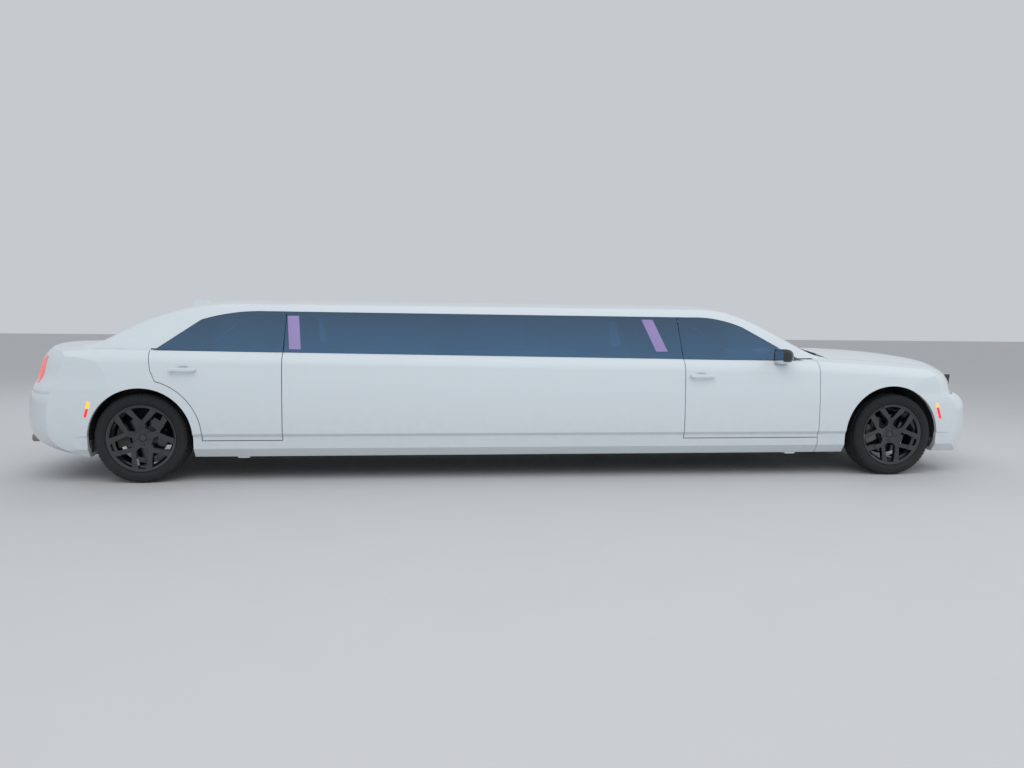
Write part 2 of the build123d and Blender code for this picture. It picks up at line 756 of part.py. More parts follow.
def grille_outline(shrink):
    """Outline of the grille from the front: upright, a little narrower at the foot."""
    with BuildSketch() as shape:
        add(outline((-GRILLE_HALF, HOOD_EDGE_Z - 6), (GRILLE_HALF, HOOD_EDGE_Z - 6), (GRILLE_HALF - 30, GRILLE_LOW_Z),
                    (-GRILLE_HALF + 30, GRILLE_LOW_Z)))
        fillet(shape.vertices().group_by(Axis.Y)[0], 40)
        offset(amount=-shrink)
    return shape.sketch


def grille():
    """Grille: a frame with bars across and a fine lattice of uprights behind them."""
    with BuildPart() as frame:
        with BuildSketch(Plane.YZ.offset(4040)):
            add(grille_outline(0))
            add(grille_outline(26), mode=Mode.SUBTRACT)
        extrude(amount=85)
        with BuildSketch(Plane.YZ.offset(4062)):
            for row in range(7):
                with Locations((0, 606 + 38 * row)):
                    Rectangle(900, 9)
            add(grille_outline(20), mode=Mode.INTERSECT)
        extrude(amount=28)
        with BuildSketch(Plane.YZ.offset(4050)):
            for column in range(-14, 15):
                with Locations((28 * column, 710)):
                    Rectangle(5, 400)
            add(grille_outline(20), mode=Mode.INTERSECT)
        extrude(amount=14)
    return frame.part


def front_bumper():
    """Front bumper with the lower air intake, its blade and the fog lamp hollows."""
    shell = shaped(NOSE_SHELL, keep=(side_prism(BUMPER_FRONT, -1100, 1100),),
                   cut=(FRONT_ARCH, FRONT_ARCH.mirror(Plane.XZ), front_prism(grille_outline(0), 3900, 4300)))
    with BuildPart() as bumper:
        add(shell)
        with BuildSketch(Plane.YZ.offset(3950)):
            with Locations((0, 345)):
                SlotOverall(1080, 130)
        extrude(amount=300, mode=Mode.SUBTRACT)
        with BuildSketch(Plane.YZ.offset(3950)):
            with Locations((-690, 330), (690, 330)):
                SlotOverall(170, 84)
        extrude(amount=300, mode=Mode.SUBTRACT)
        for marker_side in (1, -1):
            add(marker_cut(0, marker_side), mode=Mode.SUBTRACT)
    return bumper.part


def marker_cut(index, side):
    """Upright sliver at the edge of a wheel arch, right through the panel."""
    return side_prism(outline(*MARKERS[index]), 850 if side > 0 else -1000, 1000 if side > 0 else -850)


def intake():
    """Dark inserts of the front bumper: bars in the lower intake and a fog lamp at each side."""
    with BuildPart() as insert:
        with BuildSketch(Plane.YZ.offset(4030)):
            for z in (310, 345, 380):
                with Locations((0, z)):
                    Rectangle(1100, 10)
            with Locations((0, 345)):
                SlotOverall(1080, 130, mode=Mode.INTERSECT)
        extrude(amount=70)
        with BuildSketch(Plane.YZ.offset(4010)):
            with Locations((0, 345)):
                SlotOverall(1120, 170)
        extrude(amount=20)
        add(NOSE_INNER, mode=Mode.INTERSECT)
    return insert.part


def fog_lamps():
    """Round fog lamps in their hollows."""
    with BuildPart() as lamps:
        with BuildSketch(Plane.YZ.offset(3880)):
            with Locations((690, 330)):
                SlotOverall(200, 110)
        extrude(amount=300)
        add(NOSE_INNER, mode=Mode.INTERSECT)
        with BuildSketch(Plane.YZ.offset(3700)):
            with Locations((690, 330)):
                SlotOverall(240, 150)
        extrude(amount=260, mode=Mode.SUBTRACT)
    return both_sides(lamps.part)


def rear_bumper():
    """Rear bumper with the two openings for the tailpipes."""
    open_belly = block((-3860, -3400), (-700, 700), (100, 300))
    shell = shaped(TAIL_SHELL, keep=(side_prism(BUMPER_REAR, -1100, 1100),),
                   cut=(REAR_ARCH, REAR_ARCH.mirror(Plane.XZ), open_belly))
    with BuildPart() as bumper:
        add(shell)
        with BuildSketch(Plane.YZ.offset(-4300)):
            with Locations((-TAILPIPE_Y, TAILPIPE_Z), (TAILPIPE_Y, TAILPIPE_Z)):
                SlotOverall(180, 96)
        extrude(amount=500, mode=Mode.SUBTRACT)
        for marker_side in (1, -1):
            add(marker_cut(1, marker_side), mode=Mode.SUBTRACT)
    return bumper.part


TAILPIPE_Y = 560.0
TAILPIPE_Z = 330.0
TAILPIPE_END_X = -4035.0


def side_markers():
    """Four marker lamps, flush with the bumper skins beside the wheel arches."""
    front = shaped(NOSE_SHELL, keep=(marker_cut(0, 1),), cut=(FRONT_ARCH,))
    rear = shaped(TAIL_SHELL, keep=(marker_cut(1, 1),), cut=(REAR_ARCH,))
    return both_sides(shaped(front, also=(rear,)))


def cowl():
    """Sunken panel between the windscreen and the hood."""
    return shaped(lofted(body_section, FRONT_RUN, 42), cut=(lofted(body_section, FRONT_RUN, 62), CABIN_OUTER),
                  keep=(block((2400, HOOD_REAR_X + 40), (-HOOD_HALF + 3, HOOD_HALF - 3), (960, 1200)),))


write(both_sides(side_panel()), "side_panels")
write(both_sides(fender()), "front_fenders")
write(hood(), "hood")
write(both_sides(quarter_panel()), "quarter_panels")
write(trunk_lid(), "trunk_lid")
write(front_bumper(), "front_bumper")
write(rear_bumper(), "rear_bumper")
write(grille(), "grille")
write(intake(), "intake_grille")
write(fog_lamps(), "fog_lamps")
write(both_sides(shaped(NOSE_SHELL, keep=(front_prism(HEADLAMP, 3700, 4300),))), "headlamps")
write(both_sides(shaped(TAIL_SHELL, keep=(front_prism(TAIL_LAMP, -4300, -3600),))), "tail_lamps")
write(side_markers(), "side_markers")
write(cowl(), "cowl_panel")


# Wheels, drawn for the left side with the axle along Y and the hub face outwards
RIM_PROFILE = (
    (108, 260), (108, 269), (106, 271), (100, 271), (100, 256), (62, 254), (46, 232), (-30, 232), (-50, 254),
    (-100, 256), (-100, 271), (-108, 271), (-108, 262), (-102, 248), (-62, 246), (-42, 224), (54, 224), (70, 240),
    (98, 246),
)
SPOKES = 5
LUGS = 5
LUG_CIRCLE_R = 57.5
HUB_FACE_Y = 24.0
HUB_BORE_R = SPINDLE_R + FIT
DISC_Y = (-20.0, 8.0)


def wheel():
    """Cast wheel with five spokes that each split in two, its hub and its brake disc."""
    with BuildPart() as rim:
        with BuildSketch(Plane.YX):
            with BuildLine():
                Polyline(*RIM_PROFILE, close=True)
            make_face()
        revolve(axis=Axis.Y)
    with BuildPart() as dish:
        with BuildSketch(Plane.YX):
            with BuildLine():
                Polyline((66, 0), (66, 62), (74, 84))
                ThreePointArc((74, 84), (92, 160), (101, 252))
                Polyline((101, 252), (62, 252), (58, 190), (40, 96), (HUB_FACE_Y, 80), (HUB_FACE_Y, 0), (66, 0))
            make_face()
        revolve(axis=Axis.Y)
    arm = outline((50, -26), (116, -22), (163, -66), (217, -125), (238, -77), (186, -38), (142, 0),
                  (186, 38), (238, 77), (217, 125), (163, 66), (116, 22), (50, 26))
    with BuildPart() as spokes:
        with BuildSketch(Plane.XZ.offset(-(HUB_FACE_Y - 4))):
            Circle(80)
            with PolarLocations(0, SPOKES, start_angle=90):
                add(arm)
        extrude(amount=-100)
        add(dish.part, mode=Mode.INTERSECT)
    with BuildPart() as hub:
        with BuildSketch(Plane.YX):
            with BuildLine():
                Polyline((-48, 0), (-48, 44), (DISC_Y[0], 44), (DISC_Y[0], DISC_R), (DISC_Y[1], DISC_R),
                         (DISC_Y[1], 92), (HUB_FACE_Y, 92), (HUB_FACE_Y, 60), (HUB_FACE_Y + 8, 60),
                         (HUB_FACE_Y + 8, 0), close=True)
            make_face()
        revolve(axis=Axis.Y)
    with BuildPart() as whole:
        add(rim.part)
        add(spokes.part)
        add(hub.part)
        with BuildSketch(Plane.XZ.offset(-110)):
            with PolarLocations(LUG_CIRCLE_R, LUGS, start_angle=54):
                Circle(12)
        extrude(amount=62, mode=Mode.SUBTRACT)
        with BuildSketch(Plane.XZ.offset(49)):
            Circle(HUB_BORE_R)
        extrude(amount=-76, mode=Mode.SUBTRACT)
        with BuildSketch(Plane.XZ.offset(-58)):
            Circle(33)
        extrude(amount=-20, mode=Mode.SUBTRACT)
    return whole.part


def tyre():
    """Low tyre, hollow, seated on the rim between its flanges."""
    half = TYRE_WIDTH / 2
    with BuildPart() as ring:
        with BuildSketch(Plane.YX):
            with BuildLine():
                Polyline((80, 256), (100, 256), (100, 271))
                ThreePointArc((100, 271), (half, 304), (112, 344))
                ThreePointArc((112, 344), (103, 355), (88, TYRE_R - 1))
                Polyline((88, TYRE_R - 1), (0, TYRE_R), (-88, TYRE_R - 1))
                ThreePointArc((-88, TYRE_R - 1), (-103, 355), (-112, 344))
                ThreePointArc((-112, 344), (-half, 304), (-100, 271))
                Polyline((-100, 271), (-100, 256), (-80, 256), (-86, 276))
                ThreePointArc((-86, 276), (-112, 306), (-100, 340))
                Line((-100, 340), (100, 340))
                ThreePointArc((100, 340), (112, 306), (86, 276))
                Line((86, 276), (80, 256))
            make_face()
        revolve(axis=Axis.Y)
    return ring.part


WHEEL = wheel()
TYRE = tyre()
for place, x in (("front", FRONT_AXLE_X), ("rear", REAR_AXLE_X)):
    for side, label in ((1, "left"), (-1, "right")):
        at = Location((x, side * TRACK_HALF, TYRE_R))
        for kind, part in (("wheel", WHEEL), ("tyre", TYRE)):
            facing = part if side > 0 else part.mirror(Plane.XZ)
            write(facing.moved(at), f"{kind}_{place}_{label}")


# Suspension and steering
KNUCKLE_LOW_Z = -165.0
KNUCKLE_TOP_Z = 165.0
ARM_THICKNESS = 22.0
BALL_PIN_R = 10.0
KINGPIN_OFFSET = KINGPIN_Y - TRACK_HALF


def caliper(low_y):
    """Brake caliper over the rear edge of the disc, open on the disc's side, with its carrier."""
    with BuildPart() as body:
        with BuildSketch(Plane.XZ.offset(-34)):
            with BuildLine():
                CenterArc((0, 0), 212, 155, 50)
                CenterArc((0, 0), 112, 155, 50)
                Line((212 * cos(radians(155)), 212 * sin(radians(155))), (112 * cos(radians(155)), 112 * sin(radians(155))))
                Line((212 * cos(radians(205)), 212 * sin(radians(205))), (112 * cos(radians(205)), 112 * sin(radians(205))))
            make_face()
        extrude(amount=34 - low_y)
        with BuildSketch(Plane.XZ.offset(-(DISC_Y[1] + 6))):
            Circle(DISC_R + 6)
        extrude(amount=DISC_Y[1] - DISC_Y[0] + 12, mode=Mode.SUBTRACT)
    return body.part


def carrier(tall):
    """Upright behind the hub with the spindle that the wheel turns on, and the brake caliper."""
    top = KNUCKLE_TOP_Z if tall else 120
    low = KNUCKLE_LOW_Z if tall else -120
    with BuildPart() as upright:
        with BuildSketch(Plane.XZ.offset(54)):
            with BuildLine():
                Polyline((-34, low), (34, low), (60, -40), (60, 40), (34, top), (-34, top), (-60, 70), (-158, 62),
                         (-158, -62), (-60, -70), close=True)
            make_face()
        extrude(amount=34)
        with BuildSketch(Plane.XZ.offset(88)):
            Circle(SPINDLE_R)
        extrude(amount=-(88 + HUB_FACE_Y - 2))
        add(caliper(-60))
        if tall:
            with BuildSketch(Plane.XY.offset(low - ARM_THICKNESS - 6)):
                with Locations((0, KINGPIN_OFFSET)):
                    Circle(BALL_PIN_R)
            extrude(amount=2 * (ARM_THICKNESS + 6) - 2 * low + 0)
            with BuildSketch(Plane.XY.offset(-70)):
                with BuildLine():
                    Polyline((-20, -88), (-20, -54), (-150, -66), (-168, -84), (-150, -100), close=True)
                make_face()
            extrude(amount=24)
    return upright.part


def knuckle():
    """Front steering knuckle, turning on a ball pin above and below."""
    return carrier(True)


def front_subframe():
    """Front crossmember with the steering rack and, at each side, the lower and upper arms and a spring strut."""
    with BuildPart() as frame:
        with BuildSketch(Plane.YZ.offset(FRONT_AXLE_X - 110)):
            with BuildLine():
                Polyline((-400, 330), (-400, 250), (-300, 205), (300, 205), (400, 250), (400, 330), (330, 330),
                         (270, 262), (-270, 262), (-330, 330), close=True)
            make_face()
        extrude(amount=220)
        with BuildSketch(Plane.XZ.offset(-430)):
            with Locations((FRONT_AXLE_X - 165, 262)):
                Circle(26)
        extrude(amount=860)
        with BuildSketch(Plane.XY.offset(236)):
            for side in (1, -1):
                with Locations((FRONT_AXLE_X - 130, side * 300)):
                    Rectangle(90, 80)
        extrude(amount=50)
    with BuildPart() as arms:
        low = TYRE_R + KNUCKLE_LOW_Z
        with BuildSketch(Plane.XY.offset(low - ARM_THICKNESS)):
            with BuildLine():
                Polyline((FRONT_AXLE_X - 150, 330), (FRONT_AXLE_X - 110, 330), (FRONT_AXLE_X, 560),
                         (FRONT_AXLE_X + 110, 330), (FRONT_AXLE_X + 150, 330), (FRONT_AXLE_X + 30, KINGPIN_Y),
                         (FRONT_AXLE_X - 30, KINGPIN_Y), close=True)
            make_face()
            with Locations((FRONT_AXLE_X, KINGPIN_Y)):
                Circle(30)
            with Locations((FRONT_AXLE_X, 560)):
                Circle(55)
            with Locations((FRONT_AXLE_X, KINGPIN_Y)):
                Circle(BALL_PIN_R + FIT, mode=Mode.SUBTRACT)
        extrude(amount=ARM_THICKNESS)
        with BuildSketch(Plane.XY.offset(TYRE_R + KNUCKLE_TOP_Z)):
            with BuildLine():
                Polyline((FRONT_AXLE_X - 120, 430), (FRONT_AXLE_X - 84, 430), (FRONT_AXLE_X, 640),
                         (FRONT_AXLE_X + 84, 430), (FRONT_AXLE_X + 120, 430), (FRONT_AXLE_X + 26, KINGPIN_Y),
                         (FRONT_AXLE_X - 26, KINGPIN_Y), close=True)
            make_face()
            with Locations((FRONT_AXLE_X, KINGPIN_Y)):
                Circle(26)
            with Locations((FRONT_AXLE_X, KINGPIN_Y)):
                Circle(BALL_PIN_R + FIT, mode=Mode.SUBTRACT)
        extrude(amount=ARM_THICKNESS)
        for x in (FRONT_AXLE_X - 130, FRONT_AXLE_X + 130):
            with BuildSketch(Plane.XY.offset(low - ARM_THICKNESS)):
                with Locations((x, 350)):
                    Rectangle(44, 60)
            extrude(amount=120)
        with BuildSketch(Plane.XY.offset(300)):
            with Locations((FRONT_AXLE_X, 430)):
                Rectangle(260, 60)
        extrude(amount=TYRE_R + KNUCKLE_TOP_Z - 300 + ARM_THICKNESS)
        with BuildSketch(Plane.XY.offset(low)):
            with Locations((FRONT_AXLE_X, 560)):
                Circle(30)
        extrude(amount=575)
        with BuildSketch(Plane.XY.offset(500)):
            with Locations((FRONT_AXLE_X, 560)):
                Circle(58)
        extrude(amount=270)
    return shaped(frame.part, also=(arms.part, arms.part.mirror(Plane.XZ)))


def rear_subframe():
    """Rear crossmember with the differential, half shafts, arms, springs and the fixed hub carriers."""
    with BuildPart() as middle:
        with BuildSketch(Plane.XY.offset(268)):
            with Locations((REAR_AXLE_X, 0)):
                RectangleRounded(420, 700, 60)
                RectangleRounded(280, 560, 40, mode=Mode.SUBTRACT)
        extrude(amount=32)
        with BuildSketch(Plane.XZ.offset(-130)):
            with Locations((REAR_AXLE_X, SHAFT_Z)):
                Circle(95)
        extrude(amount=260)
        with BuildSketch(Plane.XY.offset(268)):
            with Locations((REAR_AXLE_X, 0)):
                Rectangle(300, 120)
        extrude(amount=32)
        with BuildSketch(Plane.XZ.offset(-(TRACK_HALF - 70))):
            with Locations((REAR_AXLE_X, TYRE_R)):
                Circle(24)
        extrude(amount=2 * (TRACK_HALF - 70))
    with BuildPart() as arms:
        for z in (TYRE_R - 110, TYRE_R + 40):
            with BuildSketch(Plane.XY.offset(z)):
                with BuildLine():
                    Polyline((REAR_AXLE_X - 120, 300), (REAR_AXLE_X + 120, 300), (REAR_AXLE_X + 40, TRACK_HALF - 60),
                             (REAR_AXLE_X - 40, TRACK_HALF - 60), close=True)
                make_face()
                with Locations((REAR_AXLE_X, 430)):
                    Rectangle(90, 150, mode=Mode.SUBTRACT)
            extrude(amount=26)
        with BuildSketch(Plane.XY.offset(TYRE_R - 110)):
            with Locations((REAR_AXLE_X + 100, 320), (REAR_AXLE_X - 100, 320)):
                Rectangle(50, 50)
        extrude(amount=176)
        with BuildSketch(Plane.XY.offset(TYRE_R - 90)):
            with Locations((REAR_AXLE_X + 30, 590)):
                Circle(28)
        extrude(amount=520)
        with BuildSketch(Plane.XY.offset(560)):
            with Locations((REAR_AXLE_X + 30, 590)):
                Circle(52)
        extrude(amount=225)
    hub = carrier(False).moved(Location((REAR_AXLE_X, TRACK_HALF, TYRE_R)))
    side = shaped(arms.part, also=(hub,))
    return shaped(middle.part, also=(side, side.mirror(Plane.XZ)))


for side, label in ((1, "left"), (-1, "right")):
    part = knuckle() if side > 0 else knuckle().mirror(Plane.XZ)
    write(part.moved(Location((FRONT_AXLE_X, side * TRACK_HALF, TYRE_R))), f"knuckle_{label}")
write(front_subframe(), "front_subframe")
write(rear_subframe(), "rear_subframe")


# Underbody, engine bay and bulkheads


def floor_pan():
    """Pressed floor with its tunnel, raised under the rear bench and the boot, and two long rails."""
    with BuildPart() as pan:
        with BuildSketch(Plane.XZ.offset(-FLOOR_HALF)):
            with BuildLine():
                Polyline((FIREWALL_X, FLOOR_Z), (KICK_X, FLOOR_Z), (KICK_X - 60, REAR_FLOOR_Z),
                         (REAR_AXLE_X + REAR_ARCH_R + 70, REAR_FLOOR_Z),
                         (REAR_AXLE_X + REAR_ARCH_R + 70, REAR_FLOOR_Z - FLOOR_THICKNESS),
                         (KICK_X - 50, REAR_FLOOR_Z - FLOOR_THICKNESS), (KICK_X + 10, FLOOR_Z - FLOOR_THICKNESS),
                         (FIREWALL_X, FLOOR_Z - FLOOR_THICKNESS), close=True)
            make_face()
        extrude(amount=2 * FLOOR_HALF)
        with BuildSketch(Plane.XY.offset(REAR_FLOOR_Z - FLOOR_THICKNESS)):
            with Locations(((-3980 + REAR_AXLE_X + REAR_ARCH_R + 70) / 2, 0)):
                Rectangle(REAR_AXLE_X + REAR_ARCH_R + 70 + 3980, 1300)
            for side in (1, -1):
                with Locations((REAR_AXLE_X + 30, side * 600)):
                    Rectangle(150, 160, mode=Mode.SUBTRACT)
        extrude(amount=FLOOR_THICKNESS)
        with BuildSketch(Plane.YZ.offset(KICK_X - 80)):
            with BuildLine():
                Polyline((-TUNNEL_HALF - 14, FLOOR_Z - 14), (-TUNNEL_HALF + 10, TUNNEL_Z), (TUNNEL_HALF - 10, TUNNEL_Z),
                         (TUNNEL_HALF + 14, FLOOR_Z - 14), close=True)
            make_face()
        extrude(amount=FIREWALL_X - KICK_X + 80)
        with BuildSketch(Plane.YZ.offset(KICK_X - 80)):
            with BuildLine():
                Polyline((-TUNNEL_HALF, FLOOR_Z - 15), (-TUNNEL_HALF + 22, TUNNEL_Z - 14),
                         (TUNNEL_HALF - 22, TUNNEL_Z - 14), (TUNNEL_HALF, FLOOR_Z - 15), close=True)
            make_face()
        extrude(amount=FIREWALL_X - KICK_X + 80, mode=Mode.SUBTRACT)
        with BuildSketch(Plane.XY.offset(FLOOR_Z - FLOOR_THICKNESS - 60)):
            for side in (1, -1):
                with Locations(((FIREWALL_X + KICK_X) / 2, side * 520)):
                    Rectangle(FIREWALL_X - KICK_X, 90)
        extrude(amount=60)
    return pan.part


def engine_block():
    """Engine as one plain block, narrower at the foot."""
    with BuildPart() as engine:
        with BuildSketch(Plane.YZ.offset(2680)):
            with BuildLine():
                Polyline((-130, 290), (130, 290), (170, 480), (250, 760), (200, 840), (-200, 840), (-250, 760),
                         (-170, 480), close=True)
            make_face()
        extrude(amount=620)
    return engine.part


def driveline():
    """Gearbox behind the engine and the long propeller shaft to the rear axle."""
    with BuildPart() as line:
        with BuildSketch(Plane.YZ.offset(2680)):
            with Locations((0, 400)):
                Circle(150)
        with BuildSketch(Plane.YZ.offset(2540)):
            with Locations((0, SHAFT_Z)):
                Circle(72)
        with BuildSketch(Plane.YZ.offset(2000)):
            with Locations((0, SHAFT_Z)):
                Circle(60)
        loft(ruled=True)
        with BuildSketch(Plane.YZ.offset(REAR_AXLE_X + 96)):
            with Locations((0, SHAFT_Z)):
                Circle(34)
        extrude(amount=2000 - REAR_AXLE_X - 96)
    return line.part


def exhaust():
    """Twin exhaust: a pipe along each side of the tunnel, a silencer behind each rear wheel and its tailpipe."""
    with BuildPart() as pipes:
        with BuildSketch(Plane.YZ.offset(-2700)):
            with Locations((260, 236)):
                Circle(30)
        extrude(amount=5300)
        with BuildSketch(Plane.YZ.offset(-3600)):
            with Locations((260, 236)):
                Circle(30)
        extrude(amount=900)
        with BuildSketch(Plane.XY.offset(215)):
            with Locations((-3690, 400)):
                RectangleRounded(260, 420, 60)
        extrude(amount=180)
        with BuildSketch(Plane.YZ.offset(TAILPIPE_END_X)):
            with Locations((TAILPIPE_Y, TAILPIPE_Z)):
                SlotOverall(150, 66)
                SlotOverall(138, 54, mode=Mode.SUBTRACT)
        extrude(amount=-3780 - TAILPIPE_END_X)
    return both_sides(pipes.part)


LINER_OUTER_Y = 860.0
LINERS = (
    (FRONT_AXLE_X - ARCH_SHIFT, FRONT_ARCH_R + 8, 478, 570),
    (REAR_AXLE_X, REAR_ARCH_R + 8, 655, 440),
)


def wheel_liners():
    """Arched liner over each left wheel, closed on the inner side."""
    with BuildPart() as liners:
        for x, radius, inner, wall_z in LINERS:
            with BuildSketch(Plane.XZ.offset(-LINER_OUTER_Y)):
                with Locations((x, TYRE_R)):
                    Circle(radius + 5)
                    Circle(radius, mode=Mode.SUBTRACT)
                with Locations((x, TYRE_R - 300)):
                    Rectangle(3 * radius, 560, mode=Mode.SUBTRACT)
            extrude(amount=LINER_OUTER_Y - inner)
            with BuildSketch(Plane.XZ.offset(-inner - 5)):
                with Locations((x, TYRE_R)):
                    Circle(radius + 5)
                with Locations((x, wall_z - 500)):
                    Rectangle(3 * radius, 1000, mode=Mode.SUBTRACT)
            extrude(amount=5)
    return liners.part


def bulkheads():
    """Firewall, partition behind the driver with its window opening, and the wall behind the rear bench."""
    with BuildPart() as walls:
        with BuildSketch(Plane.YZ.offset(FIREWALL_X)):
            with BuildLine():
                Polyline((-FLOOR_HALF, FLOOR_Z - 14), (FLOOR_HALF, FLOOR_Z - 14), (FLOOR_HALF, 860), (728, 900),
                         (728, 1000), (-728, 1000), (-728, 900), (-FLOOR_HALF, 860), close=True)
            make_face()
            with Locations((0, FLOOR_Z + 60)):
                Rectangle(2 * TUNNEL_HALF + 30, 150, mode=Mode.SUBTRACT)
        extrude(amount=14)
        with BuildSketch(Plane.YZ.offset(1240)):
            with BuildLine():
                Polyline((-730, FLOOR_Z), (730, FLOOR_Z), (730, 1040), (600, 1300), (-600, 1300), (-730, 1040), close=True)
            make_face()
            with Locations((0, 1120)):
                RectangleRounded(900, 260, 40, mode=Mode.SUBTRACT)
            with Locations((0, FLOOR_Z + 60)):
                Rectangle(2 * TUNNEL_HALF + 30, 150, mode=Mode.SUBTRACT)
        extrude(amount=40)
        with BuildSketch(Plane.YZ.offset(SEAT_BACK_X - 60)):
            with Locations((0, (REAR_FLOOR_Z + 1040) / 2)):
                Rectangle(1040, 1040 - REAR_FLOOR_Z)
        extrude(amount=20)
        with BuildSketch(Plane.XY.offset(1040)):
            with Locations(((LID_FRONT_X + SEAT_BACK_X - 40) / 2 , 0)):
                Rectangle(SEAT_BACK_X - 40 - LID_FRONT_X, 1180)
        extrude(amount=16)
    strip = shaped(TAIL_SHELL, keep=(block((LID_FRONT_X + HALF_GAP, -3400), (-LID_HALF - HALF_GAP, LID_HALF + HALF_GAP), (1000, 1300)),),
                   cut=(CABIN_OUTER,))
    return shaped(walls.part, also=(strip,))


def fuel_tank():
    """Fuel tank ahead of the rear axle, under the raised floor."""
    with BuildPart() as tank:
        with BuildSketch(Plane.XY.offset(FLOOR_Z)):
            with Locations((-2655, 0)):
                RectangleRounded(430, 1240, 60)
        extrude(amount=REAR_FLOOR_Z - FLOOR_THICKNESS - FLOOR_Z - 1)
        with BuildSketch(Plane.YZ.offset(-2900)):
            with Locations((0, FLOOR_Z)):
                SlotOverall(200, 190, rotation=90)
        extrude(amount=500, mode=Mode.SUBTRACT)
    return tank.part


write(floor_pan(), "floor_pan")
write(engine_block(), "engine_block")
write(driveline(), "driveline")
write(exhaust(), "exhaust")
write(both_sides(wheel_liners()), "wheel_liners")
write(fuel_tank(), "fuel_tank")
write(bulkheads(), "bulkheads")


# Cabin
def dashboard():
    """Dashboard across the cabin with the steering column."""
    with BuildPart() as dash:
        with BuildSketch(Plane.XZ.offset(-700)):
            with BuildLine():
                Polyline((2500, 640), (2240, 560), (2130, 700), (2090, 860))
                ThreePointArc((2090, 860), (2130, 930), (2220, 955))
                Polyline((2220, 955), (2420, 990), (2500, 980), (2500, 640))
            make_face()
        extrude(amount=1400)
        with BuildSketch(Plane.YZ.offset(2110)):
            with Locations((0, (TUNNEL_Z + 770) / 2)):
                Rectangle(260, 770 - TUNNEL_Z)
        extrude(amount=160)
        with BuildSketch(COLUMN_PLANE.offset(22)):
            Circle(34)
        extrude(amount=170)
    return dash.part


SEAT_Y = 385.0
COLUMN_TILT = 24.0
COLUMN_PLANE = Plane(origin=(1985, SEAT_Y, 905), x_dir=(0, 1, 0), z_dir=(cos(radians(COLUMN_TILT)), 0, -sin(radians(COLUMN_TILT))))


def steering_wheel():
    """Steering wheel: a rim with three spokes and a hub that seats on the column."""
    with BuildPart() as wheel_part:
        with BuildSketch(Plane(origin=COLUMN_PLANE.origin, x_dir=COLUMN_PLANE.z_dir, z_dir=COLUMN_PLANE.x_dir)) as ring:
            with Locations((0, 178)):
                Circle(15)
        revolve(axis=Axis(COLUMN_PLANE.origin, COLUMN_PLANE.z_dir))
        with BuildSketch(COLUMN_PLANE.offset(-14)):
            Circle(52)
            with Locations((90, 0), (-90, 0)):
                Rectangle(170, 34)
            with Locations(Location((0, -90, 0), 90)):
                Rectangle(170, 34)
        extrude(amount=20)
        with BuildSketch(COLUMN_PLANE):
            Circle(30)
        extrude(amount=21.5)
    return wheel_part.part


def front_seats():
    """Two front seats: cushion, leaning back and headrest."""
    with BuildPart() as seat:
        with BuildSketch(Plane.XZ.offset(-(SEAT_Y + 238))):
            with BuildLine():
                Polyline((1960, FLOOR_Z), (1960, 520), (1900, 560), (1560, 520), (1420, 1010), (1330, 1010), (1330, 980),
                         (1460, 500), (1480, FLOOR_Z), close=True)
            make_face()
        extrude(amount=476)
        fillet(seat.edges().filter_by(Axis.Y).group_by(Axis.Z)[-1], 14)
        with BuildSketch(Plane.XZ.offset(-(SEAT_Y + 130))):
            with Locations((1372, 1080)):
                RectangleRounded(90, 150, 30)
        extrude(amount=260)
    return both_sides(seat.part)


BENCH_Z = 640.0


def lounge_seat():
    """Lounge bench: across the back of the cabin and on along its left side."""
    with BuildPart() as bench:
        with BuildSketch(Plane.XY.offset(FLOOR_Z + 0)):
            with BuildLine():
                Polyline((-2330, -560), (-2000, -560), (-2000, 180), (880, 180), (880, 735), (-2330, 735), close=True)
            make_face()
        extrude(amount=BENCH_Z - FLOOR_Z)
        with BuildSketch(Plane.XY.offset(FLOOR_Z)):
            with Locations((-2200, 0)):
                Rectangle(500, 2 * TUNNEL_HALF + 60)
        extrude(amount=TUNNEL_Z - FLOOR_Z + 5, mode=Mode.SUBTRACT)
        with BuildSketch(Plane.XY.offset(REAR_FLOOR_Z)):
            with Locations((-2480, 90)):
                Rectangle(330, 1290)
        extrude(amount=BENCH_Z - REAR_FLOOR_Z)
        with BuildSketch(Plane.XY.offset(BENCH_Z - 10)):
            with Locations((-2590, 0)):
                Rectangle(150, 1250)
            with Locations((-850, 672)):
                Rectangle(3460, 126)
        extrude(amount=360)
    return bench.part


def bar_console():
    """Bar along the right side of the cabin, with open shelves."""
    with BuildPart() as bar:
        with BuildSketch(Plane.YZ.offset(-1500)):
            with BuildLine():
                Polyline((-745, FLOOR_Z), (-400, FLOOR_Z), (-400, 860), (-430, 900), (-745, 900), close=True)
            make_face()
        extrude(amount=2300)
        for x in range(-1360, 700, 420):
            with BuildSketch(Plane.XZ.offset(300)):
                with Locations((x + 130, 700)):
                    RectangleRounded(340, 300, 20)
            extrude(amount=380, mode=Mode.SUBTRACT)
    return bar.part


write(dashboard(), "dashboard")
write(steering_wheel(), "steering_wheel")
write(front_seats(), "front_seats")
write(lounge_seat(), "lounge_seat")
write(bar_console(), "bar_console")
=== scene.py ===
"""Looks of a stretch limousine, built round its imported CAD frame.

Lengths are metres. X points forward, Y to the car's left and Z up, and the ground is z = 0.
"""

import json
import logging
import math
from collections.abc import Sequence
from dataclasses import dataclass, field
from enum import Enum

import bmesh
import bpy
from mathutils import Matrix, Vector

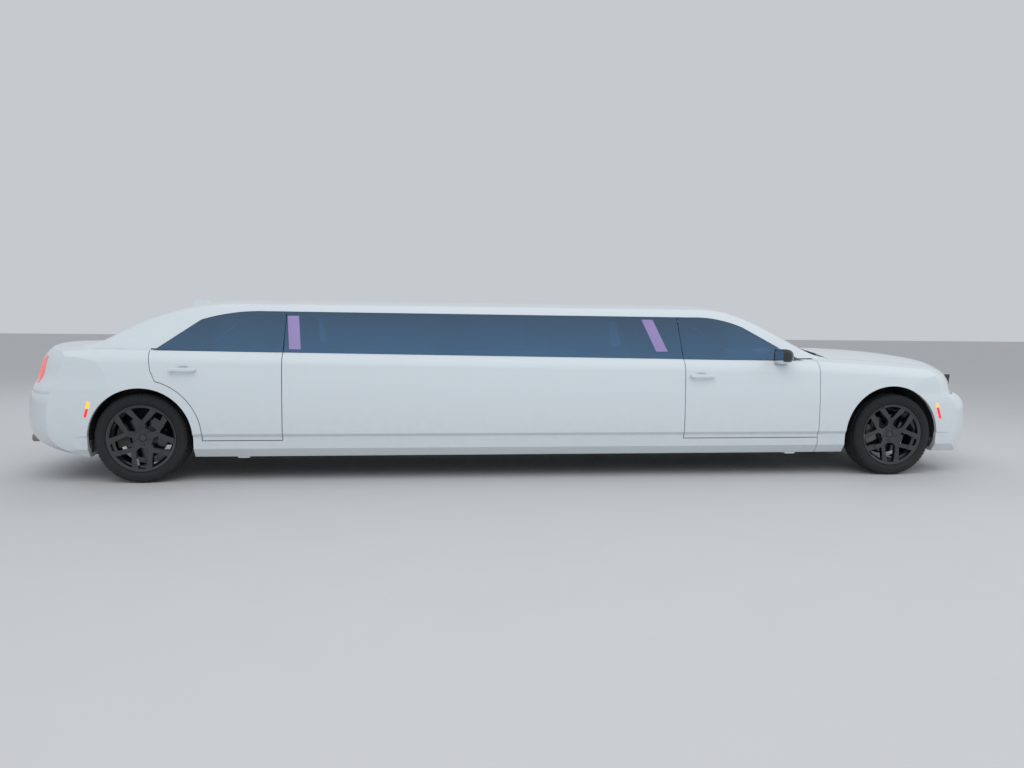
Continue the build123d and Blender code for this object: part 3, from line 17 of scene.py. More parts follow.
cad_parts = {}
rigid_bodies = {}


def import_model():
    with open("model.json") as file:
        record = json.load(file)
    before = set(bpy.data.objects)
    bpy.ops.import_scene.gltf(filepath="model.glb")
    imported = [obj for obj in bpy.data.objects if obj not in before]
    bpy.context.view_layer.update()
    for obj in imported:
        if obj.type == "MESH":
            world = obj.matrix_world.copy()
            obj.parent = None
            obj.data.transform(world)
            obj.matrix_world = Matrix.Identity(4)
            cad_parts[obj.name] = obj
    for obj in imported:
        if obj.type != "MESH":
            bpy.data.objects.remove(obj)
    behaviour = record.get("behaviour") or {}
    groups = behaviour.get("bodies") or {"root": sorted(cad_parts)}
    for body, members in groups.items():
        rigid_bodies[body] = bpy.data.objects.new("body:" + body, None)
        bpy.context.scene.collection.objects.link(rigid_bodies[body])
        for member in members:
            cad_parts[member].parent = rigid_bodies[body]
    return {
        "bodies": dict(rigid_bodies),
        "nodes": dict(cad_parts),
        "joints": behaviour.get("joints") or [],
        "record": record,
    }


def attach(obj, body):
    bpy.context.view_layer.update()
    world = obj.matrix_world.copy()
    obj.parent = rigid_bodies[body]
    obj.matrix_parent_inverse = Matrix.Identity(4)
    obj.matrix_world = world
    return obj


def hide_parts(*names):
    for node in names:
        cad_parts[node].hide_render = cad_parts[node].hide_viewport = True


LOG = logging.getLogger("limousine")

Point = tuple[float, float, float]
Color = tuple[float, float, float]
Knot = tuple[float, float]
Socket = bpy.types.NodeSocket

# Material slots that the record names, filled when the frame is loaded.
RECORD_SLOTS: set[str] = set()

# Road dust covers the car fully below the first height and ends at the second.
DUST_FULL_Z = 0.15
DUST_END_Z = 0.7
DUST_COLOR = (0.22, 0.2, 0.17, 1.0)
DUST_SCALE = 14.0
DUST_ROUGHNESS = 0.5
DRIFT_SCALE = 2.2
GRAIN_ROUGHNESS = 0.1
COAT_ROUGHNESS = 0.04

# The black band behind the side glass: its corners in X and Z, and how far out it starts.
BAND_CORNERS = ((-3.0, 1.062), (2.465, 1.003), (1.96, 1.29), (1.745, 1.345), (1.5, 1.374), (-2.15, 1.386),
                (-2.42, 1.362), (-2.66, 1.312))
BAND_START_Y = 0.575
BAND_COLOR = (0.012, 0.016, 0.022, 1.0)

# Faces of the body that look into the cabin are lined, by how far their normals point in or down.
FACING_IN = -0.2
FACING_DOWN = -0.4
WALL_END_Y = 0.93
CEILING_START_Z = 1.15
LINING_COLOR = (0.035, 0.034, 0.036, 1.0)

# Lit panels behind the side glass, whose glow is painted on the glass: X at the top, X at the foot and half
# the width.
PANEL_LINES = ((-1.924, -1.888, 0.046), (1.0935, 1.1875, 0.0505))
PANEL_TOP_Z = 1.35
PANEL_FOOT_Z = 1.078
# Painted glow of the lit panels, laid into the side glass's colour.
PAINTED_PANEL_GLOW = (0.6, 0.5, 0.85, 1.0)

# Painted reflection: the tinted glass's colour grows lighter from the first height down to the second.
REFLECTION_TOP_Z = 1.4
REFLECTION_FOOT_Z = 1.02
REFLECTION_TOP_SHARE = 0.75
REFLECTION_FOOT_SHARE = 1.35

# Patterns of the lit panels, the side markers and the quilted seats.
DOTS_PER_METRE = 62.0
DOT_RADIUS = 0.33
DOT_COLOR = (1.0, 0.72, 0.95, 1.0)
MARKER_SPLIT_Z = 0.6
MARKER_RED = (0.55, 0.01, 0.012, 1.0)
QUILT_PITCH = 0.06
QUILT_SEAM = 0.012
QUILT_HEIGHT = 14.0


class Pattern(Enum):
    """How a finish changes over its surface."""

    PLAIN = "plain"
    BODY = "body"
    DOTS = "dots"
    QUILTED = "quilted"
    MARKER = "marker"
    # Tinted glass, with a painted reflection and the lit panels' painted glow in its colour.
    TINT = "tint"


class Tree:
    """A node tree while it is built."""

    def __init__(self, tree: bpy.types.NodeTree) -> None:
        """Keeps the tree's nodes and links.

        Args:
            tree: The shader or geometry tree to fill.
        """
        self.tree = tree

    def add(self, kind: str, inputs: dict | None = None, **settings: object) -> bpy.types.Node:
        """Adds a node.

        Args:
            kind: The node's type name.
            inputs: Values or output sockets for its inputs, by name or number.
            **settings: Properties of the node.

        Returns:
            The new node.
        """
        node = self.tree.nodes.new(kind)
        for key, value in settings.items():
            setattr(node, key, value)
        for key, value in (inputs or {}).items():
            if isinstance(value, Socket):
                self.tree.links.new(value, node.inputs[key])
            else:
                node.inputs[key].default_value = value
        return node

    def math(self, operation: str, *values: object) -> Socket:
        """Adds a Math node.

        Args:
            operation: What it computes.
            *values: Its inputs in order.

        Returns:
            Its result.
        """
        return self.add("ShaderNodeMath", dict(enumerate(values)), operation=operation).outputs[0]

    def mix(self, mask: object, first: object, second: object) -> Socket:
        """Mixes two colours.

        Args:
            mask: Zero for the first colour and one for the second.
            first: The first colour.
            second: The second colour.

        Returns:
            The mixed colour.
        """
        colors = {6: first, 7: second, 0: mask}
        return self.add("ShaderNodeMix", colors, data_type="RGBA").outputs[2]

    def noise(self, scale: object, detail: float) -> Socket:
        """Adds noise on Object coordinates.

        Args:
            scale: Its scale.
            detail: Its detail.

        Returns:
            Its factor.
        """
        spots = {"Vector": self.place(), "Scale": scale, "Detail": detail}
        return self.add("ShaderNodeTexNoise", spots).outputs[0]

    def place(self) -> Socket:
        """Adds the Object coordinates.

        Returns:
            Their socket.
        """
        return self.add("ShaderNodeTexCoord").outputs["Object"]

    def split(self, vector: Socket) -> list[Socket]:
        """Splits a vector.

        Args:
            vector: The vector's socket.

        Returns:
            Its X, Y and Z.
        """
        return list(self.add("ShaderNodeSeparateXYZ", {0: vector}).outputs)


def new_group(name: str, kind: str, inputs: dict[str, str], outputs: dict[str, str]) -> Tree:
    """Makes an empty node group with named sockets.

    Args:
        name: The group's name.
        kind: The tree's type name.
        inputs: Socket types by input name.
        outputs: Socket types by output name.

    Returns:
        The group's tree, ready to fill.
    """
    group = bpy.data.node_groups.new(name, kind)
    for direction, sockets in (("INPUT", inputs), ("OUTPUT", outputs)):
        for socket, socket_kind in sockets.items():
            group.interface.new_socket(socket, in_out=direction, socket_type=f"NodeSocket{socket_kind}")
    return Tree(group)


def surface_group() -> bpy.types.NodeTree:
    """Colour drift, fine grain and road dust low down, shared by every finish.

    Returns:
        The shader group, built once.
    """
    if "surface" in bpy.data.node_groups:
        return bpy.data.node_groups["surface"]
    tree = new_group(
        "surface",
        "ShaderNodeTree",
        {"Color": "Color", "Roughness": "Float", "Vary": "Float", "Grain": "Float", "Dust": "Float"},
        {"Color": "Color", "Roughness": "Float", "Height": "Float"},
    )
    given = tree.add("NodeGroupInput").outputs
    fine = tree.noise(given["Grain"], 3.0)
    drift = tree.math("MULTIPLY", tree.noise(DRIFT_SCALE, 4.0), given["Vary"])
    fade = {0: tree.split(tree.place())[2], 1: DUST_FULL_Z, 2: DUST_END_Z, 3: 1.0, 4: 0.0}
    low = tree.add("ShaderNodeMapRange", fade).outputs[0]
    dust = tree.math("MULTIPLY", tree.math("MULTIPLY", low, tree.noise(DUST_SCALE, 5.0)), given["Dust"])
    color = tree.mix(drift, given["Color"], (0.0, 0.0, 0.0, 1.0))
    centred = tree.math("SUBTRACT", fine, 0.5)
    rough = tree.math("MULTIPLY_ADD", centred, GRAIN_ROUGHNESS, given["Roughness"])
    tree.add(
        "NodeGroupOutput",
        {
            "Color": tree.mix(dust, color, DUST_COLOR),
            "Roughness": tree.math("MULTIPLY_ADD", dust, DUST_ROUGHNESS, rough),
            "Height": fine,
        },
    )
    return tree.tree


def zones_group() -> bpy.types.NodeTree:
    """Masks of the body: the band behind the side glass, and the faces that look into the cabin.

    Returns:
        The shader group, built once.
    """
    if "zones" in bpy.data.node_groups:
        return bpy.data.node_groups["zones"]
    tree = new_group("zones", "ShaderNodeTree", {}, {"Band": "Float", "Cabin": "Float"})
    place = tree.place()
    x, y, z = tree.split(place)
    normal = tree.split(tree.add("ShaderNodeTexCoord").outputs["Normal"])
    side = tree.math("ABSOLUTE", y)
    band = tree.math("GREATER_THAN", side, BAND_START_Y)
    for (ax, az), (bx, bz) in zip(BAND_CORNERS, BAND_CORNERS[1:] + BAND_CORNERS[:1]):
        inward = (az - bz, 0.0, bx - ax)
        reach = tree.add("ShaderNodeVectorMath", {0: place, 1: inward}, operation="DOT_PRODUCT")
        inside = tree.math("GREATER_THAN", reach.outputs[1], inward[0] * ax + inward[2] * az)
        band = tree.math("MULTIPLY", band, inside)
    facing_in = tree.math("LESS_THAN", tree.math("MULTIPLY", y, normal[1]), FACING_IN)
    wall = tree.math("MULTIPLY", facing_in, tree.math("LESS_THAN", side, WALL_END_Y))
    facing_down = tree.math("LESS_THAN", normal[2], FACING_DOWN)
    ceiling = tree.math("MULTIPLY", facing_down, tree.math("GREATER_THAN", z, CEILING_START_Z))
    tree.add("NodeGroupOutput", {"Band": band, "Cabin": tree.math("MAXIMUM", wall, ceiling)})
    return tree.tree


@dataclass(frozen=True)
class Finish:
    """A finish of the car.

    Attributes:
        name: The material's name, which is also the record's slot where it has one.
        color: Base colour, linear.
        rough: Roughness.
        metal: Metallic, plain.
        coat: Weight of the clear coat.
        vary: How far the colour darkens in its drift.
        grain: Grains a metre.
        depth: Height of the grain.
        dust: Road dust low on the car.
        glow: Emission strength.
        clear: Transmission weight, plain.
        pattern: How it changes over the surface.
    """

    name: str
    color: Color
    rough: float = 0.5
    metal: float = 0.0
    coat: float = 0.0
    vary: float = 0.1
    grain: float = 900.0
    depth: float = 0.0001
    dust: float = 0.0
    glow: float = 0.0
    clear: float = 0.0
    pattern: Pattern = Pattern.PLAIN

    def build(self) -> bpy.types.Material:
        """Makes the material, once.

        Returns:
            The material.
        """
        if self.name in bpy.data.materials:
            return bpy.data.materials[self.name]
        material = bpy.data.materials.new(self.name)
        material.use_nodes = True
        tree = Tree(material.node_tree)
        shader = tree.tree.nodes["Principled BSDF"]
        shader.inputs["Metallic"].default_value = self.metal
        shader.inputs["Transmission Weight"].default_value = self.clear
        shader.inputs["Coat Weight"].default_value = self.coat
        shader.inputs["Coat Roughness"].default_value = COAT_ROUGHNESS
        values = {"Roughness": self.rough, "Vary": self.vary, "Grain": self.grain, "Dust": self.dust}
        skin = tree.add("ShaderNodeGroup", node_tree=surface_group())
        for name, value in values.items():
            skin.inputs[name].default_value = value
        color, height = self.painted(tree)
        if isinstance(color, Socket):
            tree.tree.links.new(color, skin.inputs["Color"])
        else:
            skin.inputs["Color"].default_value = color
        raised = tree.math("MULTIPLY_ADD", skin.outputs["Height"], 1.0, height)
        bump = tree.add("ShaderNodeBump", {"Height": raised, "Distance": self.depth})
        tree.tree.links.new(skin.outputs["Color"], shader.inputs["Base Color"])
        tree.tree.links.new(skin.outputs["Roughness"], shader.inputs["Roughness"])
        tree.tree.links.new(bump.outputs[0], shader.inputs["Normal"])
        if self.glow:
            shader.inputs["Emission Strength"].default_value = self.glow
            if isinstance(color, Socket):
                tree.tree.links.new(color, shader.inputs["Emission Color"])
            else:
                shader.inputs["Emission Color"].default_value = color
        return material

    def painted(self, tree: Tree) -> tuple[object, object]:
        """The finish's own pattern.

        Args:
            tree: The material's tree.

        Returns:
            The colour, and the pattern's height in units of the grain's.
        """
        base = (*self.color, 1.0)
        if self.pattern is Pattern.BODY:
            zones = tree.add("ShaderNodeGroup", node_tree=zones_group())
            outside = tree.mix(zones.outputs["Band"], base, BAND_COLOR)
            return tree.mix(zones.outputs["Cabin"], outside, LINING_COLOR), 0.0
        x, y, z = tree.split(tree.place())
        if self.pattern is Pattern.TINT:
            # Painted reflection: the glass's colour grows lighter from the top height down to the foot.
            fade = {0: z, 1: REFLECTION_TOP_Z, 2: REFLECTION_FOOT_Z, 3: REFLECTION_TOP_SHARE, 4: REFLECTION_FOOT_SHARE}
            lower = tree.add("ShaderNodeMapRange", fade).outputs[0]
            painted_reflection = tree.add("ShaderNodeVectorMath", {0: self.color, "Scale": lower}, operation="SCALE")
            # Painted glow: the lit panels' colour is laid into the glass where they lie behind it.
            return tree.mix(painted_panel_glow_mask(tree, x, z), painted_reflection.outputs[0], PAINTED_PANEL_GLOW), 0.0
        if self.pattern is Pattern.DOTS:
            flat = tree.add("ShaderNodeCombineXYZ", {0: x, 1: z}).outputs[0]
            cells = {"Vector": flat, "Scale": DOTS_PER_METRE, "Randomness": 0.0}
            spot = tree.add("ShaderNodeTexVoronoi", cells, voronoi_dimensions="2D").outputs["Distance"]
            return tree.mix(tree.math("LESS_THAN", spot, DOT_RADIUS), base, DOT_COLOR), 0.0
        if self.pattern is Pattern.MARKER:
            return tree.mix(tree.math("GREATER_THAN", z, MARKER_SPLIT_Z), MARKER_RED, base), 0.0
        if self.pattern is Pattern.QUILTED:
            across = tree.math("ADD", y, z)
            first = tree.math("PINGPONG", tree.math("ADD", x, across), QUILT_PITCH)
            second = tree.math("PINGPONG", tree.math("SUBTRACT", x, across), QUILT_PITCH)
            seam = tree.math("DIVIDE", tree.math("MINIMUM", first, second), QUILT_SEAM)
            return base, tree.math("MULTIPLY", tree.math("MINIMUM", seam, 1.0), QUILT_HEIGHT)
        return base, 0.0


def painted_panel_glow_mask(tree: Tree, x: Socket, z: Socket) -> Socket:
    """Where the lit panels' glow is painted on the side glass, seen from the side.

    Args:
        tree: The tree to build in.
        x: The place along the car.
        z: The height.

    Returns:
        One inside either panel and zero outside.
    """
    below_top = tree.math("LESS_THAN", z, PANEL_TOP_Z)
    height = tree.math("MULTIPLY", below_top, tree.math("GREATER_THAN", z, PANEL_FOOT_Z))
    found = None
    for top, foot, half in PANEL_LINES:
        slope = (top - foot) / (PANEL_TOP_Z - PANEL_FOOT_Z)
        middle = tree.math("MULTIPLY_ADD", tree.math("SUBTRACT", z, PANEL_FOOT_Z), slope, foot)
        near = tree.math("LESS_THAN", tree.math("ABSOLUTE", tree.math("SUBTRACT", x, middle)), half)
        found = near if found is None else tree.math("MAXIMUM", found, near)
    return tree.math("MULTIPLY", height, found)


PAINT = Finish("body_paint", (0.74, 0.8, 0.84), 0.22, coat=1.0, vary=0.02, grain=2600.0, depth=0.00001,
               dust=0.25, pattern=Pattern.BODY)
# The side glass: its colour carries a painted reflection and the lit panels' painted glow.
TINTED = Finish("tinted_glass", (0.05, 0.18, 0.35), 0.03, coat=1.0, vary=0.2, grain=30.0, depth=0.0,
                clear=0.6, pattern=Pattern.TINT)
CLEAR = Finish("clear_glass", (0.16, 0.2, 0.24), 0.03, coat=1.0, vary=0.1, grain=30.0, depth=0.0,
               clear=0.85)
BLACK = Finish("black_gloss", (0.012, 0.013, 0.016), 0.14, coat=1.0, grain=1500.0, depth=0.00002, dust=0.1)
TRIM = Finish("black_trim", (0.022, 0.023, 0.025), 0.55, vary=0.3, grain=1400.0, depth=0.00015, dust=0.3)
WHEEL = Finish("wheel_paint", (0.006, 0.008, 0.011), 0.12, coat=1.0, vary=0.1, grain=1800.0,
               depth=0.00002, dust=0.02)
RUBBER = Finish("tyre", (0.011, 0.013, 0.015), 0.72, vary=0.35, grain=1100.0, depth=0.0003, dust=0.1)
CHASSIS = Finish("chassis", (0.03, 0.03, 0.032), 0.6, vary=0.4, grain=500.0, depth=0.0002, dust=0.7)
STEEL = Finish("floor_steel", (0.05, 0.052, 0.056), 0.6, metal=0.3, vary=0.4, grain=420.0, depth=0.0003,
               dust=0.6)
IRON = Finish("cast_iron", (0.24, 0.235, 0.23), 0.42, metal=0.9, vary=0.4, grain=800.0, depth=0.0002,
              dust=0.3)
ENGINE = Finish("engine_metal", (0.3, 0.3, 0.31), 0.45, metal=0.8, vary=0.4, grain=420.0, depth=0.0004,
                dust=0.4)
EXHAUST = Finish("exhaust_steel", (0.42, 0.4, 0.37), 0.3, metal=1.0, vary=0.3, grain=600.0, depth=0.0001,
                 dust=0.3)
LAMP = Finish("lamp_clear", (0.86, 0.88, 0.9), 0.05, coat=1.0, vary=0.03, grain=60.0, depth=0.00004,
              clear=0.9)
RED_LAMP = Finish("lamp_red", (0.55, 0.012, 0.014), 0.08, coat=1.0, vary=0.2, grain=90.0, depth=0.0001,
                  glow=0.45, clear=0.3)
RED_GLOW = Finish("red_glow", (1.0, 0.03, 0.02), 0.2, coat=1.0, vary=0.1, grain=200.0, depth=0.0001,
                  glow=0.9)
MARKER = Finish("marker_lens", (1.0, 0.32, 0.02), 0.15, coat=1.0, vary=0.1, grain=300.0, depth=0.0002,
                glow=1.6, pattern=Pattern.MARKER)
LIT = Finish("lit_panel", (0.2, 0.16, 0.42), 0.4, vary=0.15, glow=0.55, pattern=Pattern.DOTS)
LEATHER = Finish("seat_leather", (0.045, 0.04, 0.04), 0.42, vary=0.3, grain=700.0, depth=0.00035,
                 pattern=Pattern.QUILTED)
BAR = Finish("bar_gloss", (0.06, 0.022, 0.012), 0.16, coat=1.0, vary=0.5, grain=60.0, depth=0.00005)
MIRROR = Finish("mirror", (0.75, 0.78, 0.8), 0.03, metal=1.0, vary=0.03, grain=20.0, depth=0.00001)
CHROME = Finish("bright_metal", (0.75, 0.76, 0.78), 0.1, metal=1.0, vary=0.08, grain=700.0, depth=0.00002)
AMBER = Finish("amber_lens", (1.0, 0.36, 0.03), 0.2, coat=1.0, vary=0.1, grain=300.0, depth=0.0002,
               glow=0.9)
GLOW_LENS = Finish("lamp_lens", (0.95, 0.95, 1.0), 0.1, coat=1.0, vary=0.02, grain=80.0, depth=0.0001,
                   glow=0.7)
SCREEN = Finish("screen", (0.02, 0.035, 0.06), 0.08, coat=1.0, vary=0.2, grain=40.0, depth=0.00002,
                glow=0.5)
FLOOR = Finish("floor", (0.62, 0.62, 0.63), 0.8, vary=0.04, grain=40.0)

# How the CAD nodes' names start, by their finish.
FINISH_NODES: dict[Finish, tuple[str, ...]] = {
    PAINT: ("door_", "roof_panel", "side_panels", "front_fenders", "hood", "quarter_panels", "trunk_lid",
            "front_bumper", "rear_bumper"),
    TINTED: ("door_glass", "side_windows", "rear_window"),
    CLEAR: ("windscreen",),
    BLACK: ("grille",),
    TRIM: ("cowl_panel", "intake_grille", "wheel_liners", "fuel_tank", "dashboard", "steering_wheel"),
    WHEEL: ("wheel_",),
    RUBBER: ("tyre_",),
    CHASSIS: ("front_subframe", "rear_subframe", "driveline", "bulkheads"),
    STEEL: ("floor_pan",),
    IRON: ("knuckle",),
    ENGINE: ("engine_block",),
    EXHAUST: ("exhaust",),
    LAMP: ("fog_lamps", "headlamps"),
    RED_LAMP: ("tail_lamps",),
    MARKER: ("side_markers",),
    LIT: ("pillar_lights",),
    LEATHER: ("front_seats", "lounge_seat"),
    BAR: ("bar_console",),
    MIRROR: ("mirror_glass",),
}
NODE_FINISHES = {start: finish for finish, starts in FINISH_NODES.items() for start in starts}


def finish_of(node: str) -> Finish:
    """Finds the finish of a CAD node.

    Args:
        node: The node's name.

    Returns:
        The finish under the longest name that starts the node's own.
    """
    return NODE_FINISHES[max((start for start in NODE_FINISHES if node.startswith(start)), key=len)]


def surface_at(node: str, start: Point, toward: Point) -> Vector:
    """Where a ray first meets a CAD node.

    Args:
        node: The node's name.
        start: The ray's start.
        toward: Its direction.

    Returns:
        The point on the surface.

    Raises:
        ValueError: If the ray misses the node.
    """
    found, place, _, _ = bpy.data.objects[node].ray_cast(Vector(start), Vector(toward))
    if not found:
        raise ValueError(f"no surface of {node} from {start} toward {toward}")
    return place


def add_piece(
    name: str, mesh: bpy.types.Mesh, finish: Finish, body: str, sharp: float = 40.0
) -> bpy.types.Object:
    """Puts a finished mesh on the car.

    Args:
        name: The piece's name.
        mesh: Its mesh, in place.
        finish: Its finish.
        body: The CAD body it rides on.
        sharp: The angle, in degrees, past which an edge stays sharp.

    Returns:
        The piece.
    """
    mesh.materials.clear()
    mesh.materials.append(finish.build())
    mesh.shade_smooth()
    mesh.set_sharp_from_angle(angle=math.radians(sharp))
    piece = bpy.data.objects.new(name, mesh)
    bpy.context.scene.collection.objects.link(piece)
    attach(piece, body)
    LOG.info("%s rides on %s, %d faces", name, body, len(mesh.polygons))
    return piece


def to_mesh(bm: bmesh.types.BMesh, name: str, place: Matrix | None = None) -> bpy.types.Mesh:
    """Turns a bmesh into a mesh with outward faces.

    Args:
        bm: The shape, which is freed.
        name: The mesh's name.
        place: Where it goes.

    Returns:
        The mesh.
    """
    bm.transform(place or Matrix())
    bmesh.ops.recalc_face_normals(bm, faces=bm.faces)
    mesh = bpy.data.meshes.new(name)
    bm.to_mesh(mesh)
    bm.free()
    return mesh


def rounded_box(size: Point, radius: float, steps: int = 3) -> bmesh.types.BMesh:
    """A box about the origin with rounded edges.

    Args:
        size: Its X, Y and Z lengths.
        radius: The edges' radius.
        steps: Steps of each rounding.

    Returns:
        The shape.
    """
    bm = bmesh.new()
    bmesh.ops.create_cube(bm, size=1.0, matrix=Matrix.Diagonal((*size, 1.0)))
    bmesh.ops.bevel(bm, geom=bm.edges[:], offset=radius, segments=steps, profile=0.5, affect="EDGES")
    return bm


def lathe(profile: Sequence[Knot], steps: int) -> bmesh.types.BMesh:
    """A closed profile turned about the Y axis.

    Args:
        profile: Radius and place along Y, point by point. A radius of zero closes the shape at a pole.
        steps: Steps of the turn.

    Returns:
        The shape.
    """
    bm = bmesh.new()
    angles = [2 * math.pi * i / steps for i in range(steps)]
    rings = [[bm.verts.new((r * math.cos(a), y, r * math.sin(a))) for r, y in profile] for a in angles]
    for i, ring in enumerate(rings):
        after = rings[(i + 1) % steps]
        for j in range(len(profile)):
            k = (j + 1) % len(profile)
            if profile[j][0] + profile[k][0] > 0:
                bm.faces.new((ring[j], ring[k], after[k], after[j]))
    bmesh.ops.remove_doubles(bm, verts=bm.verts, dist=1e-6)
    bmesh.ops.dissolve_degenerate(bm, edges=bm.edges, dist=1e-7)
    return bm


def forward(x: float, y: float, z: float) -> Matrix:
    """Places what is turned about the Y axis so that its front looks along +X.

    Args:
        x: The place along the car.
        y: The place across it.
        z: The height.

    Returns:
        The placing matrix.
    """
    return Matrix.Translation((x, y, z)) @ Matrix.Rotation(-math.pi / 2, 4, "Z")


def baked(host: bpy.types.Object) -> bpy.types.Mesh:
    """Takes what an object shows, with its modifiers, as a plain mesh.

    Args:
        host: The object.

    Returns:
        The new mesh.
    """
    return bpy.data.meshes.new_from_object(host.evaluated_get(bpy.context.evaluated_depsgraph_get()))


def tube(points: list[Vector], radius: float, name: str) -> bpy.types.Mesh:
    """A smooth closed tube through points.

    Args:
        points: Its centre line.
        radius: Its radius.
        name: The mesh's name.

    Returns:
        The mesh.
    """
    curve = bpy.data.curves.new(name, "CURVE")
    curve.dimensions = "3D"
    curve.bevel_depth = radius
    curve.bevel_resolution = 3
    curve.use_fill_caps = True
    spline = curve.splines.new("NURBS")
    spline.points.add(len(points) - 1)
    for knot, point in zip(spline.points, points):
        knot.co = (*point, 1.0)
    spline.order_u = 3
    spline.use_endpoint_u = True
    host = bpy.data.objects.new(name, curve)
    bpy.context.scene.collection.objects.link(host)
    mesh = baked(host)
    bpy.data.objects.remove(host)
    return mesh


def repeat_group() -> bpy.types.NodeTree:
    """The tree that repeats a template along a step and round a turn.

    Returns:
        The geometry group, built once.
    """
    if "repeat" in bpy.data.node_groups:
        return bpy.data.node_groups["repeat"]
    inputs = {"Geometry": "Geometry", "Count": "Int", "Step": "Vector", "Turn": "Vector",
              "Material": "Material"}
    tree = new_group("repeat", "GeometryNodeTree", inputs, {"Geometry": "Geometry"})
    given = tree.add("NodeGroupInput").outputs
    line = tree.add("GeometryNodeMeshLine", {"Count": given["Count"], "Offset": given["Step"]})
    index = tree.add("GeometryNodeInputIndex").outputs[0]
    turn = tree.add("ShaderNodeVectorMath", {0: given["Turn"], "Scale": index}, operation="SCALE")
    copies = {"Points": line.outputs[0], "Instance": given["Geometry"], "Rotation": turn.outputs[0]}
    row = tree.add("GeometryNodeInstanceOnPoints", copies).outputs[0]
    solid = tree.add("GeometryNodeRealizeInstances", {0: row}).outputs[0]
    dressed = tree.add("GeometryNodeSetMaterial", {"Geometry": solid, "Material": given["Material"]})
    tree.add("NodeGroupOutput", {"Geometry": dressed.outputs[0]})
    return tree.tree


def repeated(
    template: bpy.types.Mesh, count: int, finish: Finish, step: Point = (0, 0, 0), turn: Point = (0, 0, 0)
) -> bpy.types.Mesh:
    """Repeats a template with the geometry tree.

    Args:
        template: The shape that repeats.
        count: How many there are.
        finish: Their finish.
        step: From each to the next.
        turn: The angles from each to the next, in radians.

    Returns:
        One plain mesh.
    """
    host = bpy.data.objects.new(f"{template.name}_row", template)
    bpy.context.scene.collection.objects.link(host)
    modifier = host.modifiers.new("repeat", "NODES")
    modifier.node_group = repeat_group()
    sockets = {
        item.name: item.identifier
        for item in modifier.node_group.interface.items_tree
        if item.item_type == "SOCKET" and item.in_out == "INPUT"
    }
    values = {"Count": count, "Step": step, "Turn": turn, "Material": finish.build()}
    for name, value in values.items():
        modifier[sockets[name]] = value
    mesh = baked(host)
    host.modifiers.remove(modifier)
    bpy.data.objects.remove(host)
    return mesh


